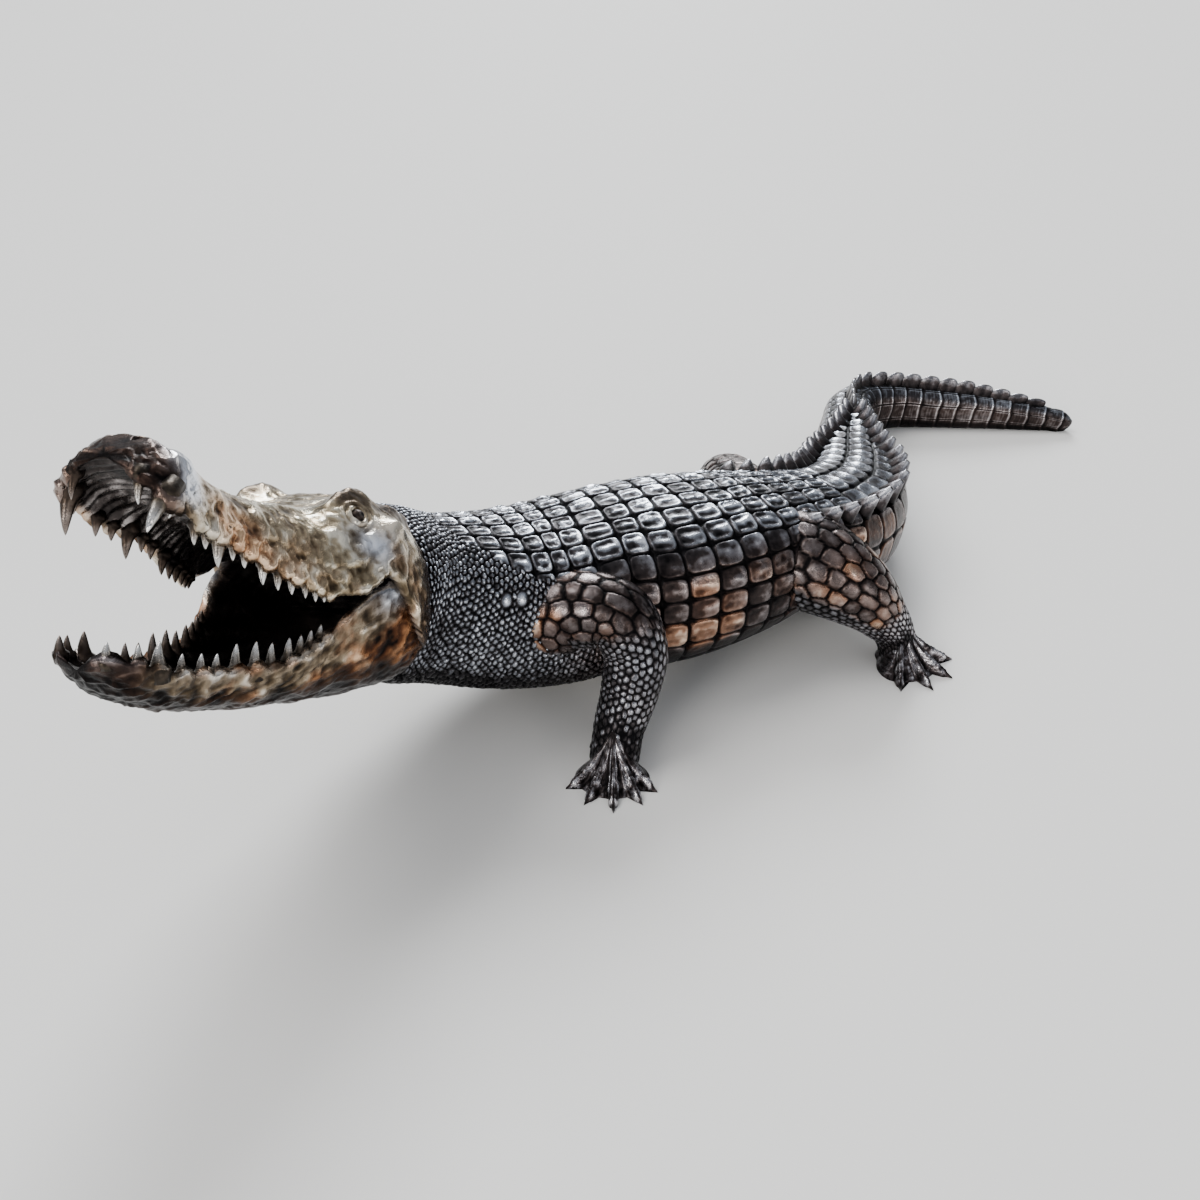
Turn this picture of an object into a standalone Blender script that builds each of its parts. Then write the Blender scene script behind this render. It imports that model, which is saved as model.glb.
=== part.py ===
"""Alligator statue, cast in bronze as one piece: jaws open, head turned, tail curled on the floor.

Metres, +Z up. The trunk lies along X with the head towards -X, the animal's left side is -Y, and
the soles rest on z = 0. Every form is a loft or a small primitive placed along a curve, and all
of them are joined into one solid, which is cut flat where it meets the floor.
"""
import math

import bmesh
import bpy
import numpy as np
from mathutils import Vector

NAME = "alligator"

# Middle of the footprint, taken away from every point at the end
FOOTPRINT_X = 0.3300
FOOTPRINT_Y = 0.2155
SINK = 0.006            # how far feet and tail reach under the floor before the flat cut

# Spine: x, y, height of the centre, half width, rise to the back, drop to the belly
SPINE = (
    (-0.735, -0.054, 0.425, 0.105, 0.085, 0.120),
    (-0.690, -0.030, 0.395, 0.165, 0.130, 0.170),
    (-0.550, 0.000, 0.320, 0.172, 0.145, 0.190),
    (-0.350, 0.018, 0.252, 0.205, 0.165, 0.200),
    (-0.180, 0.010, 0.240, 0.228, 0.178, 0.190),
    (0.000, 0.000, 0.235, 0.240, 0.182, 0.185),
    (0.170, 0.008, 0.225, 0.225, 0.170, 0.165),
    (0.327, 0.030, 0.210, 0.192, 0.150, 0.145),
    (0.470, 0.065, 0.190, 0.175, 0.135, 0.150),
    (0.600, 0.135, 0.170, 0.165, 0.125, 0.160),
    (0.700, 0.240, 0.155, 0.150, 0.115, 0.160),
    (0.800, 0.370, 0.140, 0.130, 0.105, 0.146),
    (0.900, 0.500, 0.130, 0.110, 0.098, 0.136),
    (1.000, 0.640, 0.120, 0.090, 0.088, 0.126),
    (1.090, 0.760, 0.110, 0.074, 0.078, 0.116),
    (1.200, 0.832, 0.100, 0.061, 0.068, 0.106),
    (1.330, 0.830, 0.088, 0.053, 0.060, 0.094),
    (1.460, 0.770, 0.077, 0.047, 0.055, 0.083),
    (1.594, 0.697, 0.065, 0.041, 0.050, 0.071),
    (1.700, 0.635, 0.055, 0.034, 0.042, 0.061),
    (1.800, 0.572, 0.042, 0.024, 0.032, 0.048),
    (1.860, 0.529, 0.030, 0.009, 0.012, 0.020),
)
BOXINESS = 2.5          # exponent of a body section: 2 is an ellipse, more is squarer
ROW_PITCH = 0.061       # one row of back plates along the spine
COLUMNS = 24            # plates round a section
PLATED = 5              # columns of raised plates on each side of the back's middle
PLATE_RISE = 0.007
PLATES_FROM = 0.22      # where the raised plates start and end along the spine
PLATES_TO = 2.90

# Head: length from the jaw's hinge to the snout's tip, and its pose
HEAD_LENGTH = 0.63
HEAD_AT = (-0.724, -0.050, 0.429)
HEAD_TURN = math.radians(40.0)
HEAD_ROLL = math.radians(8.7)
UPPER_PITCH = math.radians(41.5)
LOWER_PITCH = math.radians(18.5)

# Upper jaw, in shares of the head's length: along, half width, top, lip, roof of the mouth
UPPER_JAW = (
    (-0.12, 0.200, 0.110, -0.150, -0.120),
    (0.00, 0.300, 0.180, -0.190, -0.100),
    (0.10, 0.335, 0.205, -0.150, -0.030),
    (0.18, 0.326, 0.202, -0.080, -0.010),
    (0.25, 0.305, 0.180, -0.030, -0.010),
    (0.33, 0.280, 0.140, -0.095, -0.015),
    (0.40, 0.250, 0.108, -0.118, -0.010),
    (0.50, 0.208, 0.072, -0.105, -0.003),
    (0.60, 0.172, 0.055, -0.090, 0.000),
    (0.72, 0.148, 0.055, -0.062, 0.005),
    (0.82, 0.152, 0.085, -0.060, 0.015),
    (0.90, 0.160, 0.115, -0.045, 0.025),
    (0.97, 0.130, 0.105, -0.030, 0.025),
    (1.015, 0.065, 0.060, 0.000, 0.030),
)
# Eye mounds on the upper jaw, in the same shares: middle, then half sizes
EYE_ALONG = 0.298
EYE_OUT = 0.162
EYE_UP = 0.122
EYE_HALF = (0.078, 0.054, 0.062)
# Lower jaw: along, half width, lip, floor of the mouth, underside
LOWER_JAW = (
    (-0.12, 0.190, -0.080, -0.100, -0.250),
    (0.02, 0.295, -0.060, -0.110, -0.320),
    (0.12, 0.315, -0.005, -0.160, -0.325),
    (0.20, 0.305, 0.035, -0.185, -0.318),
    (0.27, 0.283, 0.018, -0.198, -0.305),
    (0.35, 0.248, -0.030, -0.205, -0.290),
    (0.42, 0.220, -0.085, -0.200, -0.276),
    (0.52, 0.185, -0.118, -0.188, -0.256),
    (0.65, 0.150, -0.105, -0.155, -0.225),
    (0.78, 0.132, -0.080, -0.120, -0.185),
    (0.88, 0.127, -0.040, -0.080, -0.140),
    (0.945, 0.105, -0.010, -0.045, -0.095),
    (0.985, 0.050, 0.000, -0.025, -0.050),
)
ARCH_SIDES = 12         # faces over the outside of a jaw
MOUTH_SIDES = 4         # faces across the inside of the mouth
MOUTH_WIDTH = 0.86      # the mouth's width inside, as a share of the jaw's
JAW_ROWS = 16

# Limbs: x, y, z and radius from the root inside the body to the wrist or ankle
NEAR_ARM = (
    (-0.340, 0.000, 0.215, 0.085),
    (-0.340, -0.085, 0.245, 0.098),
    (-0.285, -0.160, 0.292, 0.084),
    (-0.226, -0.216, 0.290, 0.074),
    (-0.204, -0.252, 0.226, 0.068),
    (-0.228, -0.280, 0.145, 0.061),
    (-0.264, -0.306, 0.080, 0.054),
    (-0.288, -0.332, 0.020, 0.052),
    (-0.292, -0.338, -0.030, 0.050),
)
FAR_ARM = (
    (-0.330, 0.060, 0.215, 0.085),
    (-0.320, 0.150, 0.225, 0.092),
    (-0.255, 0.235, 0.220, 0.072),
    (-0.210, 0.290, 0.180, 0.062),
    (-0.225, 0.345, 0.110, 0.052),
    (-0.250, 0.385, 0.060, 0.046),
    (-0.265, 0.410, 0.018, 0.046),
    (-0.268, 0.415, -0.030, 0.046),
)
NEAR_LEG = (
    (0.260, 0.010, 0.225, 0.100),
    (0.275, -0.080, 0.240, 0.118),
    (0.320, -0.160, 0.232, 0.110),
    (0.385, -0.222, 0.186, 0.087),
    (0.440, -0.248, 0.125, 0.062),
    (0.478, -0.262, 0.070, 0.048),
    (0.488, -0.275, 0.018, 0.046),
    (0.490, -0.278, -0.030, 0.046),
)
FAR_LEG = (
    (0.290, 0.060, 0.215, 0.100),
    (0.315, 0.160, 0.218, 0.112),
    (0.350, 0.270, 0.208, 0.098),
    (0.385, 0.370, 0.188, 0.082),
    (0.410, 0.440, 0.130, 0.060),
    (0.415, 0.500, 0.070, 0.048),
    (0.415, 0.525, 0.018, 0.046),
    (0.415, 0.528, -0.030, 0.046),
)
LIMBS = {"near_arm": NEAR_ARM, "far_arm": FAR_ARM, "near_leg": NEAR_LEG, "far_leg": FAR_LEG}
LIMB_SIDES = 10
LIMB_ROWS = 10
# Toes: heading of the middle toe and how far each turns from it, in degrees, then their length
FEET = (
    ((-0.296, -0.342), 247.0, (-62, -32, -2, 28, 52), 0.125),
    ((-0.265, 0.412), 95.0, (-55, -28, 0, 28, 55), 0.120),
    ((0.488, -0.272), 285.0, (-48, -16, 14, 46), 0.145),
    ((0.415, 0.527), 98.0, (-42, -14, 14, 42), 0.150),
)
TOE_RADIUS = 0.017
TOE_SIDES = 5
TOE_ROWS = 6
CLAW_SHARE = 0.72       # where along the toe its claw starts
WEB_SHARE = 0.62        # how far the web reaches along the toes
WEB_DIP = 0.82          # the web's edge between two toes, as a share of that reach
WEB_THICK = 0.012
HEEL_HEIGHT = 0.050
HEEL_BACK = 0.030
TOE_HEIGHT = 0.022      # middle of a toe over the floor at its root

# Upright scales: two rows along the root of the tail, then one crest
CREST_START = 1.02
CREST_MERGE = 2.08
CREST_END = 2.96
CREST_HEIGHT = 0.046
CREST_THICK = 0.009
CREST_LEAN = math.radians(32.0)
CREST_RAMP = 0.50       # distance over which the crest grows, fades or closes to one row
CREST_OUT = 0.74        # how far out on the tail's half width each of the two rows stands

TOOTH_SIDES = 4


def smooth(keys, rows, at):
    """Rows at any place between their keys, on a smooth curve through all of them."""
    keys = np.asarray(keys, float)
    rows = np.asarray(rows, float)
    at = np.clip(np.asarray(at, float), keys[0], keys[-1])
    slopes = np.gradient(rows, keys, axis=0)
    i = np.clip(np.searchsorted(keys, at, side="right") - 1, 0, len(keys) - 2)
    span = keys[i + 1] - keys[i]
    t = (at - keys[i]) / span
    if rows.ndim > 1:
        t = t[..., None]
        span = span[..., None]
    low = (1 + 2 * t) * (1 - t) ** 2 * rows[i] + t * (1 - t) ** 2 * span * slopes[i]
    high = t * t * (3 - 2 * t) * rows[i + 1] + t * t * (t - 1) * span * slopes[i + 1]
    return low + high


def unit(v):
    return v / np.linalg.norm(v, axis=-1, keepdims=True)


def chord_keys(points):
    """Distance along a polyline at each of its points."""
    steps = np.linalg.norm(np.diff(np.asarray(points, float), axis=0), axis=1)
    return np.concatenate([[0.0], np.cumsum(steps)])


SPINE_KEYS = chord_keys([row[:3] for row in SPINE])
SPINE_LENGTH = SPINE_KEYS[-1]


def frame_along(keys, points, s):
    """Centre, sideways and upward directions of a curve at distances s, with no roll."""
    step = 1e-3
    centre = smooth(keys, points, s)
    ahead = smooth(keys, points, s + step) - smooth(keys, points, s - step)
    ahead = unit(ahead)
    side = unit(np.cross(ahead, (0.0, 0.0, 1.0)))
    return centre, side, np.cross(side, ahead), ahead


def even_section(half_width, rise, drop, count):
    """Points round a body section, evenly spaced from the belly's middle, as side and up."""
    fine = np.linspace(-math.pi, math.pi, 241)
    across = np.sin(fine)
    upward = np.cos(fine)
    power = 2.0 / BOXINESS
    y = half_width * np.sign(across) * np.abs(across) ** power
    z = np.where(upward > 0, rise, drop) * np.sign(upward) * np.abs(upward) ** power
    run = np.concatenate([[0.0], np.cumsum(np.hypot(np.diff(y), np.diff(z)))])
    at = np.linspace(0.0, run[-1], count + 1)[:-1]
    return np.interp(at, run, y), np.interp(at, run, z)


def body_grid(stations, count):
    """Rings of the trunk, neck and tail at distances along the spine."""
    rows = smooth(SPINE_KEYS, SPINE, stations)
    centre, side, up, _ = frame_along(SPINE_KEYS, np.array(SPINE)[:, :3], stations)
    rings = []
    for k in range(len(stations)):
        y, z = even_section(*rows[k, 3:6], count)
        rings.append(centre[k] + side[k] * y[:, None] + up[k] * z[:, None])
    return np.array(rings)


def head_axes(pitch):
    """Forward, left and up directions of a jaw that is pitched up by an angle."""
    forward = np.array([
        -math.cos(HEAD_TURN) * math.cos(pitch),
        -math.sin(HEAD_TURN) * math.cos(pitch),
        math.sin(pitch),
    ])
    left = np.array([math.sin(HEAD_TURN), -math.cos(HEAD_TURN), 0.0])
    up = np.cross(forward, left)
    left = left * math.cos(HEAD_ROLL) + up * math.sin(HEAD_ROLL)
    return np.array([forward, left, np.cross(forward, left)])


def in_head(points, pitch):
    """World places of points given in shares of the head's length."""
    return np.array(HEAD_AT) + HEAD_LENGTH * np.asarray(points, float) @ head_axes(pitch)


def jaw_ring(along, half_width, crown, lip, inside, sides, mouth_sides):
    """A jaw's section: a round outside from lip to lip, and a hollowed inside back again."""
    angle = np.linspace(0.0, math.pi, sides + 1)
    y = half_width * np.sign(np.cos(angle)) * np.abs(np.cos(angle)) ** 0.85
    z = lip + (crown - lip) * np.sin(angle) ** 0.8
    inner = np.linspace(-1.0, 1.0, mouth_sides + 1)[1:-1]
    y = np.concatenate([y, inner * half_width * MOUTH_WIDTH])
    z = np.concatenate([z, lip + (inside - lip) * (1 - inner**4)])
    return np.stack([np.full(len(y), along), y, z], axis=1)


def jaw_grid(table, crown_column, lip_column, inside_column, pitch, rows, sides, mouth_sides):
    table = np.array(table)
    along = table[0, 0] + (table[-1, 0] - table[0, 0]) * np.sin(np.linspace(0, 1, rows) * math.pi / 2)
    sizes = smooth(table[:, 0], table, along)
    rings = [
        jaw_ring(r[0], r[1], r[crown_column], r[lip_column], r[inside_column], sides, mouth_sides)
        for r in sizes
    ]
    return in_head(np.array(rings), pitch)


def tube_grid(path, rows, sides):
    """Rings round a limb or a toe, whose path gives x, y, z and radius."""
    path = np.array(path)
    keys = chord_keys(path[:, :3])
    s = np.linspace(0.0, keys[-1], rows)
    line = smooth(keys, path, s)
    ahead = unit(smooth(keys, path[:, :3], s + 1e-3) - smooth(keys, path[:, :3], s - 1e-3))
    side = unit(np.cross(ahead[0], (0.0, 0.0, 1.0)))
    angle = np.linspace(0, 2 * math.pi, sides, endpoint=False)[:, None]
    rings = []
    for k in range(rows):
        # The section turns with the path and doesn't twist about it
        side = unit(side - (side @ ahead[k]) * ahead[k])
        up = np.cross(side, ahead[k])
        rings.append(line[k, :3] + line[k, 3] * (side * np.cos(angle) + up * np.sin(angle)))
    return np.array(rings)


def placed(point):
    """A point moved so that the middle of the footprint is the origin."""
    return (point[0] - FOOTPRINT_X, point[1] - FOOTPRINT_Y, point[2])


def loft(name, rings, poked=None):
    """A closed mesh object over rings of points, with some of its faces raised to low pyramids."""
    bm = bmesh.new()
    grid = [[bm.verts.new(p) for p in ring] for ring in rings]
    count = len(grid[0])
    raised = []
    for i in range(len(grid) - 1):
        for j in range(count):
            k = (j + 1) % count
            face = bm.faces.new((grid[i][j], grid[i][k], grid[i + 1][k], grid[i + 1][j]))
            if poked is not None and poked(i, j):
                raised.append(face)
    bm.faces.new(grid[0][::-1])
    bm.faces.new(grid[-1])
    bmesh.ops.recalc_face_normals(bm, faces=bm.faces)
    if raised:
        bmesh.ops.poke(bm, faces=raised, offset=PLATE_RISE)
    bmesh.ops.triangulate(bm, faces=bm.faces)
    return mesh_object(name, bm)


def mesh_object(name, bm):
    for vert in bm.verts:
        vert.co = placed(vert.co)
    mesh = bpy.data.meshes.new(name)
    bm.to_mesh(mesh)
    bm.free()
    return bpy.data.objects.new(name, mesh)


def make_body():
    rows = int(round(SPINE_LENGTH / ROW_PITCH))
    stations = np.linspace(0.0, SPINE_LENGTH, rows + 1)
    middle = COLUMNS // 2

    def plated(i, j):
        from_middle = abs(j + 0.5 - middle)
        return from_middle < PLATED and PLATES_FROM < stations[i] < PLATES_TO

    return loft("body", body_grid(stations, COLUMNS), plated)


def add_cone(bm, base, tip, radius):
    """A tooth: a cone from the gum to its point."""
    axis = tip - base
    height = float(np.linalg.norm(axis))
    made = bmesh.ops.create_cone(
        bm, cap_ends=True, segments=TOOTH_SIDES, radius1=radius, radius2=0.0, depth=height
    )
    bmesh.ops.transform(bm, matrix=turned_to(axis / height), verts=made["verts"])
    bmesh.ops.translate(bm, vec=(base + tip) / 2, verts=made["verts"])


def turned_to(direction):
    """The rotation that turns +Z to a direction."""
    return Vector((0, 0, 1)).rotation_difference(Vector(direction)).to_matrix().to_4x4()


# Teeth of one side: along the jaw, then length and base radius in metres
UPPER_TEETH = (
    (1.000, 0.024, 0.0075), (0.960, 0.040, 0.0120), (0.920, 0.020, 0.0065), (0.845, 0.026, 0.0080),
    (0.800, 0.022, 0.0075), (0.750, 0.042, 0.0110), (0.700, 0.022, 0.0075), (0.660, 0.022, 0.0075),
    (0.600, 0.030, 0.0090), (0.555, 0.028, 0.0085), (0.515, 0.026, 0.0085), (0.475, 0.022, 0.0075),
    (0.445, 0.020, 0.0070), (0.420, 0.016, 0.0065),
)
LOWER_TEETH = (
    (0.965, 0.026, 0.0085), (0.915, 0.028, 0.0080), (0.865, 0.040, 0.0115), (0.800, 0.028, 0.0080),
    (0.745, 0.030, 0.0080), (0.700, 0.028, 0.0080), (0.645, 0.040, 0.0095), (0.590, 0.042, 0.0100),
    (0.545, 0.036, 0.0090), (0.495, 0.034, 0.0090), (0.460, 0.028, 0.0080), (0.430, 0.024, 0.0075),
    (0.400, 0.018, 0.0065),
)
GUM_INSET = 0.90        # where across the lip a tooth stands
TOOTH_ROOT = 0.016      # how deep a tooth is set in the gum


def gum_height(lip, inside):
    """Height of the gum where the teeth stand: on the lip, or down the mouth's slope within it."""
    return lip + (inside - lip) * max(0.0, 1 - (GUM_INSET / MOUTH_WIDTH) ** 4)


def make_teeth(name, teeth, table, lip_column, inside_column, pitch, sense):
    table = np.array(table)
    bm = bmesh.new()
    for along, length, radius in teeth:
        row = smooth(table[:, 0], table, along)
        for flank in (1, -1):
            gum = np.array([along, flank * row[1] * GUM_INSET, gum_height(row[lip_column], row[inside_column])])
            root = gum + np.array([0.0, 0.0, -sense * TOOTH_ROOT / HEAD_LENGTH])
            lean = np.array([0.0, flank * 0.04, sense])
            point = gum + lean * length / HEAD_LENGTH
            add_cone(bm, in_head(root, pitch), in_head(point, pitch), radius)
    return mesh_object(name, bm)


def make_crest(name, first):
    """Every second upright scale: an outward-leaning row on each side, then one row on the middle."""
    bm = bmesh.new()
    count = int(round((CREST_END - CREST_START) / ROW_PITCH))
    for k in range(first, count, 2):
        s = CREST_START + (k + 0.5) * ROW_PITCH
        row = smooth(SPINE_KEYS, SPINE, s)
        centre, side, up, ahead = frame_along(SPINE_KEYS, np.array(SPINE)[:, :3], np.array([s]))
        spread = max(0.0, min(1.0, (CREST_MERGE - s) / CREST_RAMP))
        grown = 0.5 + (s - CREST_START) / CREST_RAMP
        faded = 0.45 + (CREST_END - s) / CREST_RAMP
        height = CREST_HEIGHT * min(1.0, grown, faded)
        flanks = (1, -1) if spread > 0.12 else (0,)
        for flank in flanks:
            lean = flank * CREST_LEAN * min(1.0, spread + 0.3)
            out = up[0] * math.cos(lean) + side[0] * math.sin(lean)
            seat = centre[0] + side[0] * flank * row[3] * CREST_OUT * spread
            seat = seat + up[0] * row[4] * (0.97 - 0.17 * spread)
            add_blade(bm, seat, ahead[0], out, 0.48 * ROW_PITCH, height)
    bmesh.ops.recalc_face_normals(bm, faces=bm.faces)
    return mesh_object(name, bm)


def add_blade(bm, seat, ahead, out, half_length, height):
    made = bmesh.ops.create_uvsphere(bm, u_segments=4, v_segments=3, radius=1.0)
    across = np.cross(ahead, out)
    for vert in made["verts"]:
        x, y, z = vert.co
        vert.co = seat + ahead * x * half_length + across * y * CREST_THICK + out * z * height


def foot_points(at, heading, turns, length):
    """Toe directions on the floor, as unit vectors."""
    angles = np.radians(heading + np.array(turns, float))
    return [np.array([math.cos(a), math.sin(a), 0.0]) for a in angles]


def make_toes(name, at, heading, turns, length):
    bm_parts = []
    start = np.array([at[0], at[1], TOE_HEIGHT])
    for n, way in enumerate(foot_points(at, heading, turns, length)):
        reach = length * (1.0 - 0.12 * abs(n - (len(turns) - 1) / 2) / 2)
        path = []
        for share, lift, radius in (
            (0.10, 0.008, 0.9), (0.35, 0.010, 1.05), (0.60, 0.002, 1.0),
            (CLAW_SHARE, -0.004, 0.85), (0.80, -0.006, 0.55), (1.0, -0.018, 0.12),
        ):
            path.append((*(start + way * reach * share + np.array([0, 0, lift])), TOE_RADIUS * radius))
        bm_parts.append(loft(f"{name}_{n}", tube_grid(path, TOE_ROWS, TOE_SIDES)))
    return bm_parts


def make_web(name, at, heading, turns, length):
    """The skin between the toes: a fan from the heel, scalloped between two toes."""
    ways = foot_points(at, heading, turns, length)
    start = np.array([at[0], at[1], 0.0])
    rim = []
    for n, way in enumerate(ways):
        rim.append(start + way * length * WEB_SHARE)
        if n + 1 < len(ways):
            rim.append(start + unit(way + ways[n + 1]) * length * WEB_SHARE * WEB_DIP)
    heel = start - unit(sum(ways)) * HEEL_BACK
    outline = [heel] + rim
    bm = bmesh.new()
    low = [bm.verts.new((p[0], p[1], -SINK)) for p in outline]
    high = [bm.verts.new((p[0], p[1], WEB_THICK)) for p in outline]
    high[0].co.z = HEEL_HEIGHT
    count = len(outline)
    for j in range(1, count - 1):
        bm.faces.new((high[0], high[j], high[j + 1]))
        bm.faces.new((low[0], low[j + 1], low[j]))
    for j in range(count):
        k = (j + 1) % count
        bm.faces.new((low[j], low[k], high[k], high[j]))
    bmesh.ops.recalc_face_normals(bm, faces=bm.faces)
    bmesh.ops.triangulate(bm, faces=bm.faces)
    return mesh_object(name, bm)


def make_eyes():
    """The raised mounds that carry the eyes."""
    bm = bmesh.new()
    for flank in (1, -1):
        middle = np.array([EYE_ALONG, flank * EYE_OUT, EYE_UP])
        made = bmesh.ops.create_uvsphere(bm, u_segments=8, v_segments=5, radius=1.0)
        for vert in made["verts"]:
            vert.co = in_head(middle + np.array(vert.co) * np.array(EYE_HALF), UPPER_PITCH)
    return mesh_object("eyes", bm)


def bronze():
    material = bpy.data.materials.new("bronze")
    material.use_nodes = True
    shader = material.node_tree.nodes["Principled BSDF"]
    shader.inputs["Base Color"].default_value = (0.16, 0.10, 0.06, 1.0)
    shader.inputs["Metallic"].default_value = 1.0
    shader.inputs["Roughness"].default_value = 0.35
    return material


def join_into(statue, pieces, helpers):
    """Adds each piece to the statue with a Boolean union."""
    for piece in pieces:
        helpers.objects.link(piece)
        piece.hide_render = True
        piece.display_type = "WIRE"
        union = statue.modifiers.new(piece.name, "BOOLEAN")
        union.operation = "UNION"
        union.solver = "EXACT"
        # A bent limb's skin crosses itself inside the joint
        union.use_self = piece.name in LIMBS
        union.object = piece


def main():
    for obj in list(bpy.data.objects):
        bpy.data.objects.remove(obj, do_unlink=True)
    scene = bpy.context.scene
    parts = bpy.data.collections.new(NAME)
    helpers = bpy.data.collections.new("cutters")
    scene.collection.children.link(parts)
    scene.collection.children.link(helpers)

    statue = make_body()
    statue.name = NAME
    statue.data.name = NAME
    parts.objects.link(statue)
    statue.data.materials.append(bronze())

    pieces = [
        loft("upper_jaw", jaw_grid(UPPER_JAW, 2, 3, 4, UPPER_PITCH, JAW_ROWS, ARCH_SIDES, MOUTH_SIDES)),
        loft("lower_jaw", jaw_grid(LOWER_JAW, 4, 2, 3, LOWER_PITCH, JAW_ROWS, ARCH_SIDES, MOUTH_SIDES)),
        make_eyes(),
    ]
    for name, path in LIMBS.items():
        pieces.append(loft(name, tube_grid(path, LIMB_ROWS, LIMB_SIDES)))
    for n, foot in enumerate(FEET):
        pieces.append(make_web(f"web_{n}", *foot))
        pieces += make_toes(f"toe_{n}", *foot)
    pieces += [make_crest("crest_odd", 0), make_crest("crest_even", 1)]
    pieces.append(make_teeth("upper_teeth", UPPER_TEETH, UPPER_JAW, 3, 4, UPPER_PITCH, -1))
    pieces.append(make_teeth("lower_teeth", LOWER_TEETH, LOWER_JAW, 2, 3, LOWER_PITCH, 1))
    join_into(statue, pieces, helpers)

    floor_size = 2 * SPINE_LENGTH
    bpy.ops.mesh.primitive_cube_add(size=floor_size, location=(0.0, 0.0, -floor_size / 2))
    floor = bpy.context.active_object
    floor.name = "floor_cut"
    for collection in list(floor.users_collection):
        collection.objects.unlink(floor)
    helpers.objects.link(floor)
    floor.hide_render = True
    floor.display_type = "WIRE"
    cut = statue.modifiers.new("floor_cut", "BOOLEAN")
    cut.operation = "DIFFERENCE"
    cut.solver = "EXACT"
    cut.object = floor


main()
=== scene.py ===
"""Looks of the bronze alligator: scaled hide, rugose head, webbed feet and a rubbed dark patina.

Metres, +Z up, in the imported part's frame. Each piece is a fine mesh over the solid's own form.
"""

import math

import bpy
import numpy as np
from mathutils import Euler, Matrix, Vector


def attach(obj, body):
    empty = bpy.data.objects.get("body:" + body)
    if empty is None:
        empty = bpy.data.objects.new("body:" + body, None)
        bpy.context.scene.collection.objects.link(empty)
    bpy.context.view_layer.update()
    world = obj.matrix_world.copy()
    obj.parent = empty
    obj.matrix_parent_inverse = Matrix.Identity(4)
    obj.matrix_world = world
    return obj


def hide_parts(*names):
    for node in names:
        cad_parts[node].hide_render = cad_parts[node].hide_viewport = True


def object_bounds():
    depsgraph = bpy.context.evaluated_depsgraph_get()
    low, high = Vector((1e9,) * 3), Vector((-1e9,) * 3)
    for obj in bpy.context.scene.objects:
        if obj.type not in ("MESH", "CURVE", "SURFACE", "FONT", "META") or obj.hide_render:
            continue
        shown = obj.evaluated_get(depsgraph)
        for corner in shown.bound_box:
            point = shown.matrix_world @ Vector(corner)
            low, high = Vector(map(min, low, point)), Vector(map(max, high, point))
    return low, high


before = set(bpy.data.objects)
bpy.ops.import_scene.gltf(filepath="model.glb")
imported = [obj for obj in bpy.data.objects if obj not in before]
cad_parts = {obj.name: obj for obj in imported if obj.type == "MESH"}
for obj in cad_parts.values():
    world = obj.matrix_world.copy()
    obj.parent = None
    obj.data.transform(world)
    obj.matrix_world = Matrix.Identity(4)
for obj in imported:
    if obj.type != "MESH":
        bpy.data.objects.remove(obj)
size_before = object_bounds()

NODE = "alligator"

# The part's footprint is centred, so its own curves are moved by this much
FOOTPRINT_X = 0.3300
FOOTPRINT_Y = 0.2155
# Kept between the hide and the floor, and inside the solid's box
CLEARANCE = 0.0005

# Spine: x, y, height of the centre, half width, rise to the back, drop to the belly
SPINE = np.array((
    (-0.735, -0.054, 0.425, 0.105, 0.085, 0.120),
    (-0.690, -0.030, 0.395, 0.165, 0.130, 0.170),
    (-0.550, 0.000, 0.320, 0.172, 0.145, 0.190),
    (-0.350, 0.018, 0.252, 0.205, 0.165, 0.200),
    (-0.180, 0.010, 0.240, 0.228, 0.178, 0.190),
    (0.000, 0.000, 0.235, 0.240, 0.182, 0.185),
    (0.170, 0.008, 0.225, 0.225, 0.170, 0.165),
    (0.327, 0.030, 0.210, 0.192, 0.150, 0.145),
    (0.470, 0.065, 0.190, 0.175, 0.135, 0.150),
    (0.600, 0.135, 0.170, 0.165, 0.125, 0.160),
    (0.700, 0.240, 0.155, 0.150, 0.115, 0.160),
    (0.800, 0.370, 0.140, 0.130, 0.105, 0.146),
    (0.900, 0.500, 0.130, 0.110, 0.098, 0.136),
    (1.000, 0.640, 0.120, 0.090, 0.088, 0.126),
    (1.090, 0.760, 0.110, 0.074, 0.078, 0.116),
    (1.200, 0.832, 0.100, 0.061, 0.068, 0.106),
    (1.330, 0.830, 0.088, 0.053, 0.060, 0.094),
    (1.460, 0.770, 0.077, 0.047, 0.055, 0.083),
    (1.594, 0.697, 0.065, 0.041, 0.050, 0.071),
    (1.700, 0.635, 0.055, 0.034, 0.042, 0.061),
    (1.800, 0.572, 0.042, 0.024, 0.032, 0.048),
    (1.860, 0.529, 0.030, 0.009, 0.012, 0.020),
))
BOXINESS = 2.5
TIP_ROUNDING = 0.075    # length of the tail's rounded tip

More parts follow.
